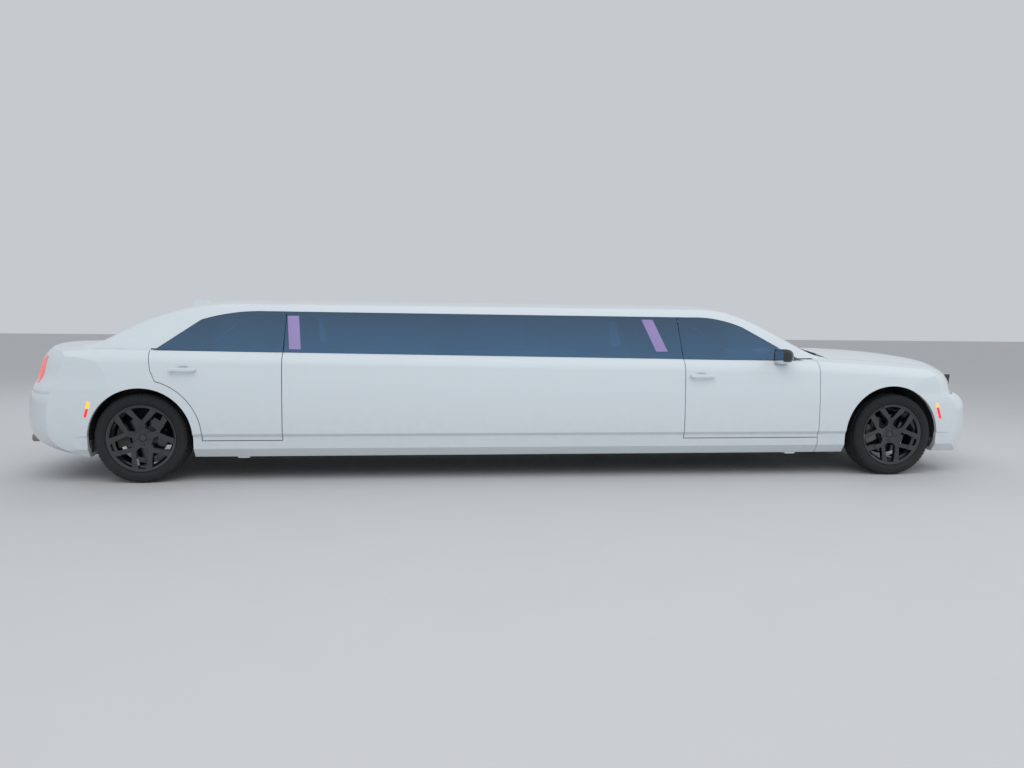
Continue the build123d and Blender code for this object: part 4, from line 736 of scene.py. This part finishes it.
@dataclass
class Wheels:
    """Tyres, lug nuts and hub caps of the four wheels.

    Attributes:
        radius: The tyre's radius.
        axles: Where each axle is along the car.
        track_half: From the car's middle to a wheel's.
        tyre_steps: Steps of the casing's turn.
        block_count: Tread blocks round each edge.
        block_size: A block's lengths.
        block_rounding: The radius of its edges.
        block_out: From the tyre's middle to a block's.
        block_sink: From the tread down to a block's middle.
        block_lean: A block's lean toward the sidewall, in degrees.
        block_slant: Its slant across the tread, in degrees.
        lugs: Nuts on each wheel.
        lug_circle: The radius of their circle.
        lug_seat: Where they sit.
        lug_start: The first one's angle, in degrees.
        nut_radius: A nut's radius.
        nut_height: Its height.
        nut_rounding: The bevel of its edges.
        cap_seat: Where the hub cap sits.
    """

    radius: float = 0.36
    axles: dict[str, float] = field(default_factory=lambda: {"front": 3.272, "rear": -3.082})
    track_half: float = 0.806
    tyre_steps: int = 96
    block_count: int = 66
    block_size: Point = (0.027, 0.04, 0.009)
    block_rounding: float = 0.0018
    block_out: float = 0.0845
    block_sink: float = 0.0085
    block_lean: float = -6.0
    block_slant: float = 12.0
    lugs: int = 5
    lug_circle: float = 0.0575
    lug_seat: float = 0.048
    lug_start: float = 54.0
    nut_radius: float = 0.0108
    nut_height: float = 0.02
    nut_rounding: float = 0.0016
    cap_seat: float = 0.058

    def casing(self) -> bpy.types.Mesh:
        """The tyre's casing with its sidewalls, ribs and grooves.

        Returns:
            The mesh, about the hub.
        """
        r = self.radius
        bead = [(0.258, 0.08), (0.2565, 0.0985), (0.2715, 0.0985), (0.274, 0.1095), (0.277, 0.1125)]
        sidewall = [(0.281, 0.1128), (0.29, 0.1185), (0.302, 0.1214), (0.303, 0.1224), (0.306, 0.1224),
                    (0.307, 0.1216), (0.322, 0.1195), (0.334, 0.115), (0.343, 0.1085), (0.349, 0.1)]
        shoulder = [(0.351, 0.09), (0.3515, 0.067), (0.3505, 0.064), (0.3505, 0.058)]
        ribs = [(r - 0.001, 0.055), (r - 0.0003, 0.03), (r - 0.008, 0.0275), (r - 0.008, 0.0205), (r, 0.018)]
        inside = [(0.262, -0.078), (0.262, 0.078)]
        half = bead + sidewall + shoulder + ribs
        profile = half + [(q, -y) for q, y in reversed(half)] + inside
        return to_mesh(lathe(profile, self.tyre_steps), "tyre_casing")

    def tread(self) -> bpy.types.Mesh:
        """The shoulder blocks, repeated round both edges of the tread.

        Returns:
            The mesh, about the hub.
        """
        bm = bmesh.new()
        for side in (-1, 1):
            block = rounded_box(self.block_size, self.block_rounding, steps=1)
            block.transform(Matrix.Translation((0, side * self.block_out, self.radius - self.block_sink))
                            @ Matrix.Rotation(side * math.radians(self.block_lean), 4, "X")
                            @ Matrix.Rotation(math.radians(self.block_slant), 4, "Z"))
            piece = bpy.data.meshes.new("block")
            block.to_mesh(piece)
            block.free()
            bm.from_mesh(piece)
        turn = (0, 2 * math.pi / self.block_count, 0)
        return repeated(to_mesh(bm, "tread_block"), self.block_count, RUBBER, turn=turn)

    def nuts(self) -> bpy.types.Mesh:
        """The lug nuts.

        Returns:
            The mesh, about the hub, for a wheel that faces +Y.
        """
        bm = bmesh.new()
        bmesh.ops.create_cone(bm, cap_ends=True, segments=6, radius1=self.nut_radius,
                              radius2=self.nut_radius, depth=self.nut_height)
        bmesh.ops.bevel(bm, geom=bm.edges[:], offset=self.nut_rounding, segments=2, affect="EDGES")
        angle = math.radians(self.lug_start)
        seat = Vector((self.lug_circle * math.cos(angle), self.lug_seat + self.nut_height / 2,
                       self.lug_circle * math.sin(angle)))
        nut = to_mesh(bm, "lug_nut", Matrix.Translation(seat) @ Matrix.Rotation(math.pi / 2, 4, "X"))
        return repeated(nut, self.lugs, CHROME, turn=(0, 2 * math.pi / self.lugs, 0))

    def cap(self) -> bpy.types.Mesh:
        """The hub cap, with plain rings.

        Returns:
            The mesh, about the hub, for a wheel that faces +Y.
        """
        y = self.cap_seat
        profile = [(0, y), (0.03, y), (0.031, y + 0.004), (0.0285, y + 0.0075), (0.024, y + 0.0065),
                   (0.0225, y + 0.0085), (0.012, y + 0.0105), (0, y + 0.011)]
        return to_mesh(lathe(profile, steps=48), "hub_cap")

    def build(self) -> None:
        """Dresses the four wheels."""
        makers = {"casing": (self.casing(), RUBBER), "tread": (self.tread(), RUBBER),
                  "lug_nuts": (self.nuts(), BLACK), "hub_cap": (self.cap(), BLACK)}
        for end, x in self.axles.items():
            for side, sign in (("left", 1), ("right", -1)):
                place = Matrix.Translation((x, sign * self.track_half, self.radius))
                place @= Matrix.Rotation(0.0 if sign > 0 else math.pi, 4, "Z")
                for part, (mesh, finish) in makers.items():
                    own = mesh.copy()
                    own.transform(place)
                    body = f"{end}_wheel_{side}"
                    piece = add_piece(f"{part}_{end}_{side}", own, finish, body, sharp=30.0)
                    if part == "casing":
                        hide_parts(f"tyre_{end}_{side}")


@dataclass
class Wipers:
    """The two wipers at the foot of the windscreen.

    Attributes:
        pivots: Where each blade starts, across the car.
        reach: A blade's length.
        lift: A blade's centre above the glass.
        inset: A blade's end behind the glass's lower edge.
        bow: How much further behind it the middle lies.
        spans: Spans of a blade's line.
        blade_radius: The blade's radius.
        arm_radius: The arm's radius.
        root_aside: From the blade's start across to the arm's root.
        root_inset: The root behind the glass's edge.
        root_lift: The root above the glass.
        arm_rise: How high the arm bends up between its ends.
        arm_lift: Its end above the blade's middle.
        search_x: Ahead of the windscreen, where the search for its edge starts.
        search_step: The search's step backwards.
        search_count: How many steps it takes at most.
        above: A height above the roof.
    """

    pivots: tuple[float, ...] = (0.56, -0.1)
    reach: float = 0.6
    lift: float = 0.012
    inset: float = 0.035
    bow: float = 0.03
    spans: int = 8
    blade_radius: float = 0.0065
    arm_radius: float = 0.006
    root_aside: float = 0.03
    root_inset: float = 0.004
    root_lift: float = 0.008
    arm_rise: float = 0.016
    arm_lift: float = 0.006
    search_x: float = 2.75
    search_step: float = 0.005
    search_count: int = 80
    above: float = 2.0

    def foot(self, y: float, inset: float) -> Vector:
        """The glass a little behind its lower edge.

        Args:
            y: The place across the car.
            inset: How far behind the edge.

        Returns:
            The point on the glass.

        Raises:
            ValueError: If the search finds no edge.
        """
        down = (0, 0, -1)
        for step in range(self.search_count):
            x = self.search_x - self.search_step * step
            if bpy.data.objects["windscreen"].ray_cast(Vector((x, y, self.above)), Vector(down))[0]:
                return surface_at("windscreen", (x - inset, y, self.above), down)
        raise ValueError(f"the windscreen has no edge at y = {y}")

    def build(self) -> None:
        """Makes each arm and blade, laid on the glass."""
        for number, start in enumerate(self.pivots):
            line = [
                self.foot(start - self.reach * i / self.spans,
                          self.inset + self.bow * math.sin(math.pi * i / self.spans))
                + Vector((0, 0, self.lift))
                for i in range(self.spans + 1)
            ]
            add_piece(f"wiper_blade_{number}", tube(line, self.blade_radius, "blade"), TRIM, "body")
            middle = line[self.spans // 2]
            root = self.foot(start - self.root_aside, self.root_inset) + Vector((0, 0, self.root_lift))
            bend = (root + middle) / 2 + Vector((0, 0, self.arm_rise))
            arm = [root, bend, middle + Vector((0, 0, self.arm_lift))]
            add_piece(f"wiper_arm_{number}", tube(arm, self.arm_radius, "arm"), TRIM, "body")


@dataclass
class Lamps:
    """What shows inside and on the lamps.

    Attributes:
        ahead: A distance ahead of the car or behind it, past its ends.
        head_y: The projectors' places across the car.
        head_z: Their height.
        head_inset: From the lens of the headlamp back to them.
        ring: The profile of a projector's ring.
        lens: The profile of its lens.
        amber_y: The amber corner's place across the car.
        amber_size: Its lengths.
        amber_inset: From the headlamp's lens back to it.
        amber_turn: Its turn outward, in degrees.
        tail_y: The row of red lights' place across the car.
        tail_foot_z: The height of its lowest light.
        tail_top_z: The height of its highest.
        tail_lights: How many lights it has.
        bead_size: A light's lengths.
        bead_inset: From the tail lamp's face in to it.
    """

    ahead: float = 5.0
    head_y: tuple[float, ...] = (0.53, 0.66)
    head_z: float = 0.79
    head_inset: float = 0.07
    ring: tuple[Knot, ...] = ((0.024, -0.024), (0.035, -0.008), (0.038, 0.0), (0.035, 0.003), (0.031, 0.0),
                              (0.027, -0.016))
    lens: tuple[Knot, ...] = ((0, -0.02), (0.026, -0.02), (0.026, -0.008), (0.026 * 0.7, 0.003), (0, 0.008))
    amber_y: float = 0.765
    amber_size: Point = (0.05, 0.02, 0.07)
    amber_inset: float = 0.06
    amber_turn: float = -38.0
    tail_y: float = 0.68
    tail_foot_z: float = 0.83
    tail_top_z: float = 0.98
    tail_lights: int = 12
    bead_size: Point = (0.008, 0.03, 0.007)
    bead_inset: float = 0.001

    def build_head(self, side: str, sign: int) -> None:
        """Makes the projectors and the amber corner of a headlamp.

        Args:
            side: Left or right.
            sign: One on the left and minus one on the right.
        """
        z = self.head_z
        for number, out in enumerate(self.head_y):
            y = sign * out
            x = surface_at("headlamps", (self.ahead, y, z), (-1, 0, 0))[0] - self.head_inset
            place = forward(x, y, z)
            ring = to_mesh(lathe(self.ring, steps=40), "projector", place)
            add_piece(f"projector_{number}_{side}", ring, CHROME, "body")
            lens = to_mesh(lathe(self.lens, steps=32), "lens", place)
            add_piece(f"projector_lens_{number}_{side}", lens, GLOW_LENS, "body")
        corner = surface_at("headlamps", (self.ahead, sign * self.amber_y, z), (-1, 0, 0))
        amber = to_mesh(rounded_box(self.amber_size, radius=0.008), "amber",
                        Matrix.Translation(corner + Vector((-self.amber_inset, 0, 0)))
                        @ Matrix.Rotation(sign * math.radians(self.amber_turn), 4, "Z"))
        add_piece(f"amber_{side}", amber, AMBER, "body")

    def build_tail(self, side: str, sign: int) -> None:
        """Makes the row of red lights of a tail lamp.

        Args:
            side: Left or right.
            sign: One on the left and minus one on the right.
        """
        foot, top = (
            surface_at("tail_lamps", (-self.ahead, sign * self.tail_y, z), (1, 0, 0))
            for z in (self.tail_foot_z, self.tail_top_z)
        )
        bead = to_mesh(rounded_box(self.bead_size, radius=0.0025, steps=2), "bead",
                       Matrix.Translation(foot + Vector((self.bead_inset, 0, 0))))
        step = tuple((top - foot) / (self.tail_lights - 1))
        row = repeated(bead, self.tail_lights, AMBER, step=step)
        add_piece(f"tail_lights_{side}", row, RED_GLOW, "body")

    def build(self) -> None:
        """Makes the parts of the headlamps and the tail lamps on both sides."""
        for side, sign in (("left", 1), ("right", -1)):
            self.build_head(side, sign)
            self.build_tail(side, sign)


@dataclass(frozen=True)
class Pad:
    """A cushion of a seat.

    Attributes:
        name: How its pieces' names start.
        size: Its full X, Y and Z lengths.
        place: Its centre, that of the first one or the left one where there are more.
        tilt: Its lean backwards, in degrees.
    """

    name: str
    size: Point
    place: Point
    tilt: float = 0.0


@dataclass
class Cushions:
    """Padded seats: two in front, and a lounge bench along the left side and across the back.

    Attributes:
        voxel: The cells of the remesh.
        swell: How much a cushion grows when it is filled.
        fill: How full the cushions are. It is not used.
        pressure: The simulation's pressure.
        frames: The frames it runs.
        front: The cushions of a front seat.
        base_size: A front seat's base.
        base_place: Where the left one is.
        side: The cushions along the side.
        side_count: How many of each there are.
        side_pitch: From one to the next.
        rear: The cushions across the back, by the middle one.
        rear_count: How many of each there are.
        rear_pitch: From one to the next.
        plinths: The bench's bases: name, lengths and centre.
        made: The filled meshes by size.
    """

    voxel: float = 0.012
    swell: float = 0.016
    fill: float = 0.7
    pressure: float = 4.0
    frames: int = 20
    front: tuple[Pad, ...] = (
        Pad("seat_cushion", (0.5, 0.46, 0.13), (1.69, 0.385, 0.5), 4.0),
        Pad("seat_back", (0.13, 0.46, 0.54), (1.46, 0.385, 0.79), 10.0),
        Pad("headrest", (0.09, 0.26, 0.12), (1.39, 0.385, 1.085), 8.0),
    )
    base_size: Point = (0.46, 0.4, 0.13)
    base_place: Point = (1.67, 0.385, 0.37)
    side: tuple[Pad, ...] = (
        Pad("lounge_cushion_side", (0.572, 0.46, 0.14), (-1.712, 0.42, 0.57)),
        Pad("lounge_back_side", (0.572, 0.1, 0.34), (-1.712, 0.682, 0.81)),
    )
    side_count: int = 5
    side_pitch: float = 0.576
    rear: tuple[Pad, ...] = (
        Pad("lounge_cushion_rear", (0.5, 0.484, 0.14), (-2.26, 0.0, 0.57)),
        Pad("lounge_back_rear", (0.12, 0.484, 0.34), (-2.575, 0.0, 0.81), 6.0),
    )
    rear_count: int = 3
    rear_pitch: float = 0.488
    plinths: tuple[tuple[str, Point, Point], ...] = (
        ("side", (2.86, 0.42, 0.2), (-0.56, 0.45, 0.402)),
        ("rear", (0.3, 1.44, 0.2), (-2.17, 0, 0.402)),
    )
    made: dict[Point, bpy.types.Mesh] = field(default_factory=dict)

    def pad(self, size: Point) -> bpy.types.Mesh:
        """A filled cushion about the origin, swelled by cloth simulation.

        Args:
            size: Its full X, Y and Z lengths.

        Returns:
            The mesh, made once for each size.
        """
        if size in self.made:
            return self.made[size]
        start = tuple(max(s - 0.8 * self.swell, 0.6 * s) for s in size)
        mesh = to_mesh(rounded_box(start, min(0.03, min(start) * 0.35)), "pad")
        host = bpy.data.objects.new("pad_host", mesh)
        bpy.context.scene.collection.objects.link(host)
        remesh = host.modifiers.new("remesh", "REMESH")
        remesh.mode, remesh.voxel_size = "VOXEL", self.voxel
        host.data = baked(host)
        host.modifiers.clear()
        self.inflate(host)
        self.made[size] = host.data
        bpy.data.objects.remove(host)
        return self.made[size]

    def inflate(self, host: bpy.types.Object) -> None:
        """Runs the cloth simulation and keeps its capped result in the mesh.

        Args:
            host: The object to fill.
        """
        scene = bpy.context.scene
        cloth = host.modifiers.new("cloth", "CLOTH")
        cloth.settings.use_pressure = True
        cloth.settings.uniform_pressure_force = self.pressure
        cloth.settings.effector_weights.gravity = 0.0
        for frame in range(1, self.frames + 1):
            scene.frame_set(frame)
        shape = host.evaluated_get(bpy.context.evaluated_depsgraph_get()).to_mesh()
        places = [v.co.copy() for v in shape.vertices]
        for vertex, place in zip(host.data.vertices, places):
            move = place - vertex.co
            vertex.co += move.normalized() * min(move.length, self.swell / 2)
        host.modifiers.clear()
        scene.frame_set(1)

    def put(self, pad: Pad, label: object, place: Point) -> bpy.types.Object:
        """Puts a cushion in the cabin.

        Args:
            pad: The cushion.
            label: How its piece's name ends.
            place: Its centre.

        Returns:
            The piece.
        """
        mesh = self.pad(pad.size).copy()
        mesh.transform(Matrix.Translation(place) @ Matrix.Rotation(math.radians(-pad.tilt), 4, "Y"))
        piece = add_piece(f"{pad.name}_{label}", mesh, LEATHER, "body", sharp=180.0)
        return piece

    def build_front(self, side: str, sign: int) -> bpy.types.Object:
        """Makes a front seat.

        Args:
            side: Left or right.
            sign: One on the left and minus one on the right.

        Returns:
            Its lower cushion.
        """
        pads = [self.put(pad, side, (pad.place[0], sign * pad.place[1], pad.place[2])) for pad in self.front]
        x, y, z = self.base_place
        place = Matrix.Translation((x, sign * y, z))
        base = to_mesh(rounded_box(self.base_size, radius=0.03), "seat_base", place)
        add_piece(f"seat_base_{side}", base, TRIM, "body")
        return pads[0]

    def build(self) -> None:
        """Makes the front seats and the lounge."""
        seat = self.build_front("left", 1)
        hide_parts("front_seats")
        self.build_front("right", -1)
        for i in range(self.side_count):
            along = self.side_pitch * i
            pads = [self.put(pad, i, (pad.place[0] + along, *pad.place[1:])) for pad in self.side]
            if i == 0:
                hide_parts("lounge_seat")
        for i in range(self.rear_count):
            y = self.rear_pitch * (i - self.rear_count // 2)
            for pad in self.rear:
                self.put(pad, i, (pad.place[0], y, pad.place[2]))
        for name, size, place in self.plinths:
            plinth = to_mesh(rounded_box(size, radius=0.02), "plinth", Matrix.Translation(place))
            add_piece(f"lounge_plinth_{name}", plinth, TRIM, "body")


@dataclass
class Cabin:
    """Details of the dashboard.

    Attributes:
        behind: A place behind the dashboard, along the car.
        screen_z: The screen's height.
        screen_size: Its lengths.
        vents: The vents' places across the car.
        vent_z: Their height.
        slats: The slats of each.
        slat_size: A slat's lengths.
        slat_pitch: From one slat up to the next.
    """

    behind: float = 1.2
    screen_z: float = 0.84
    screen_size: Point = (0.016, 0.24, 0.12)
    vents: tuple[float, ...] = (-0.58, -0.14, 0.14, 0.58)
    vent_z: float = 0.92
    slats: int = 5
    slat_size: Point = (0.014, 0.1, 0.004)
    slat_pitch: float = 0.009

    def build(self) -> None:
        """Makes the screen and the vents on the dashboard's face."""
        face = surface_at("dashboard", (self.behind, 0.0, self.screen_z), (1, 0, 0))
        screen = to_mesh(rounded_box(self.screen_size, radius=0.006), "screen", Matrix.Translation(face))
        add_piece("dash_screen", screen, SCREEN, "body")
        lowest = Vector((0, 0, self.slat_pitch * (self.slats - 1) / 2))
        for number, y in enumerate(self.vents):
            face = surface_at("dashboard", (self.behind, y, self.vent_z), (1, 0, 0))
            bar = rounded_box(self.slat_size, radius=0.0012, steps=1)
            slat = to_mesh(bar, "slat", Matrix.Translation(face - lowest))
            row = repeated(slat, self.slats, BLACK, step=(0, 0, self.slat_pitch))
            add_piece(f"vent_{number}", row, BLACK, "body")


@dataclass(frozen=True)
class SoftLamp:
    """A round area lamp of the studio.

    Attributes:
        name: Its name.
        place: Where it is.
        size: Its diameter.
        power: Its power in watts.
    """

    name: str
    place: Point
    size: float
    power: float


@dataclass(frozen=True)
class Studio:
    """Floor, light and camera.

    Attributes:
        camera: The camera's place.
        focal: Its focal length in pixels of the photograph.
        frame_width: The photograph's width in pixels.
        sensor: The camera's sensor width in millimetres.
        yaw: The camera's turn to the left, in radians.
        pitch: Its turn upward.
        roll: Its turn about its view.
        floor_half: Half the floor's length.
        lamps: The soft lamps.
        aim: What they point at.
        world_strength: Strength of the pale world.
        world_color: Its colour.
    """

    camera: Point = (-0.799, -7.2716, 1.3129)
    focal: float = 770.0
    frame_width: float = 1024.0
    sensor: float = 36.0
    yaw: float = -0.107229
    pitch: float = -0.0796476
    roll: float = -0.0104593
    floor_half: float = 60.0
    lamps: tuple[SoftLamp, ...] = (
        SoftLamp("key", (-1.0, -7.0, 8.0), 10.0, 330.0),
        SoftLamp("fill", (7.0, -3.0, 5.0), 6.0, 90.0),
        SoftLamp("back", (-2.0, 7.0, 7.0), 9.0, 220.0),
    )
    aim: Point = (0, 0, 0.6)
    world_strength: float = 0.62
    world_color: tuple[float, ...] = (0.9, 0.95, 1.0, 1.0)

    def build_camera(self) -> None:
        """Makes the camera at the photograph's angle."""
        turn = Matrix.Rotation(self.yaw, 3, "Z") @ Matrix.Rotation(self.pitch, 3, "X")
        turn @= Matrix.Rotation(self.roll, 3, "Y")
        data = bpy.data.cameras.new("camera")
        data.sensor_width = self.sensor
        data.lens = self.focal / self.frame_width * data.sensor_width
        camera = bpy.data.objects.new("camera", data)
        bpy.context.scene.collection.objects.link(camera)
        axes = Matrix((turn.col[0], turn.col[2], -turn.col[1])).transposed()
        camera.matrix_world = Matrix.Translation(self.camera) @ axes.to_4x4()
        bpy.context.scene.camera = camera

    def build_floor(self) -> None:
        """Makes the pale floor."""
        bm = bmesh.new()
        bmesh.ops.create_grid(bm, x_segments=2, y_segments=2, size=self.floor_half)
        floor = bpy.data.objects.new("floor", to_mesh(bm, "floor"))
        floor.data.materials.append(FLOOR.build())
        bpy.context.scene.collection.objects.link(floor)

    def build_light(self) -> None:
        """Makes the soft lamps and the pale world."""
        for soft in self.lamps:
            data = bpy.data.lights.new(soft.name, "AREA")
            data.shape, data.size, data.energy = "DISK", soft.size, soft.power
            lamp = bpy.data.objects.new(soft.name, data)
            lamp.visible_glossy = False
            lamp.location = soft.place
            view = Vector(self.aim) - Vector(soft.place)
            lamp.rotation_euler = view.to_track_quat("-Z", "Y").to_euler()
            bpy.context.scene.collection.objects.link(lamp)
        world = bpy.data.worlds.new("studio")
        world.use_nodes = True
        bpy.context.scene.world = world
        back = world.node_tree.nodes["Background"]
        back.inputs["Strength"].default_value = self.world_strength
        back.inputs["Color"].default_value = self.world_color
        bpy.context.scene.view_settings.view_transform = "Standard"

    def build(self) -> None:
        """Makes the studio."""
        self.build_camera()
        self.build_floor()
        self.build_light()


def dress_nodes(nodes: dict[str, bpy.types.Object]) -> None:
    """Gives every CAD node its finish.

    Args:
        nodes: The CAD objects by name.
    """
    for name, node in nodes.items():
        material = finish_of(name).build()
        if not node.material_slots:
            node.data.materials.append(material)
        for slot in node.material_slots:
            slot.material = material
        LOG.info("%s has %s", name, material.name)


def main() -> None:
    """Builds the looks of the whole car."""
    logging.basicConfig(level=logging.INFO, format="%(message)s")
    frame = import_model()
    for packed in bpy.data.materials:
        # The record's slots have the names of the finishes, which are built under them below.
        packed.name = f"packed_{packed.name}"
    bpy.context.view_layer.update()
    RECORD_SLOTS.update(entry.get("slot") for entry in frame["record"].get("materials", []))
    dress_nodes(frame["nodes"])
    for assembly in (Studio(), Wheels(), Wipers(), Lamps(), Cabin(), Cushions()):
        assembly.build()


if __name__ == "__main__":
    main()
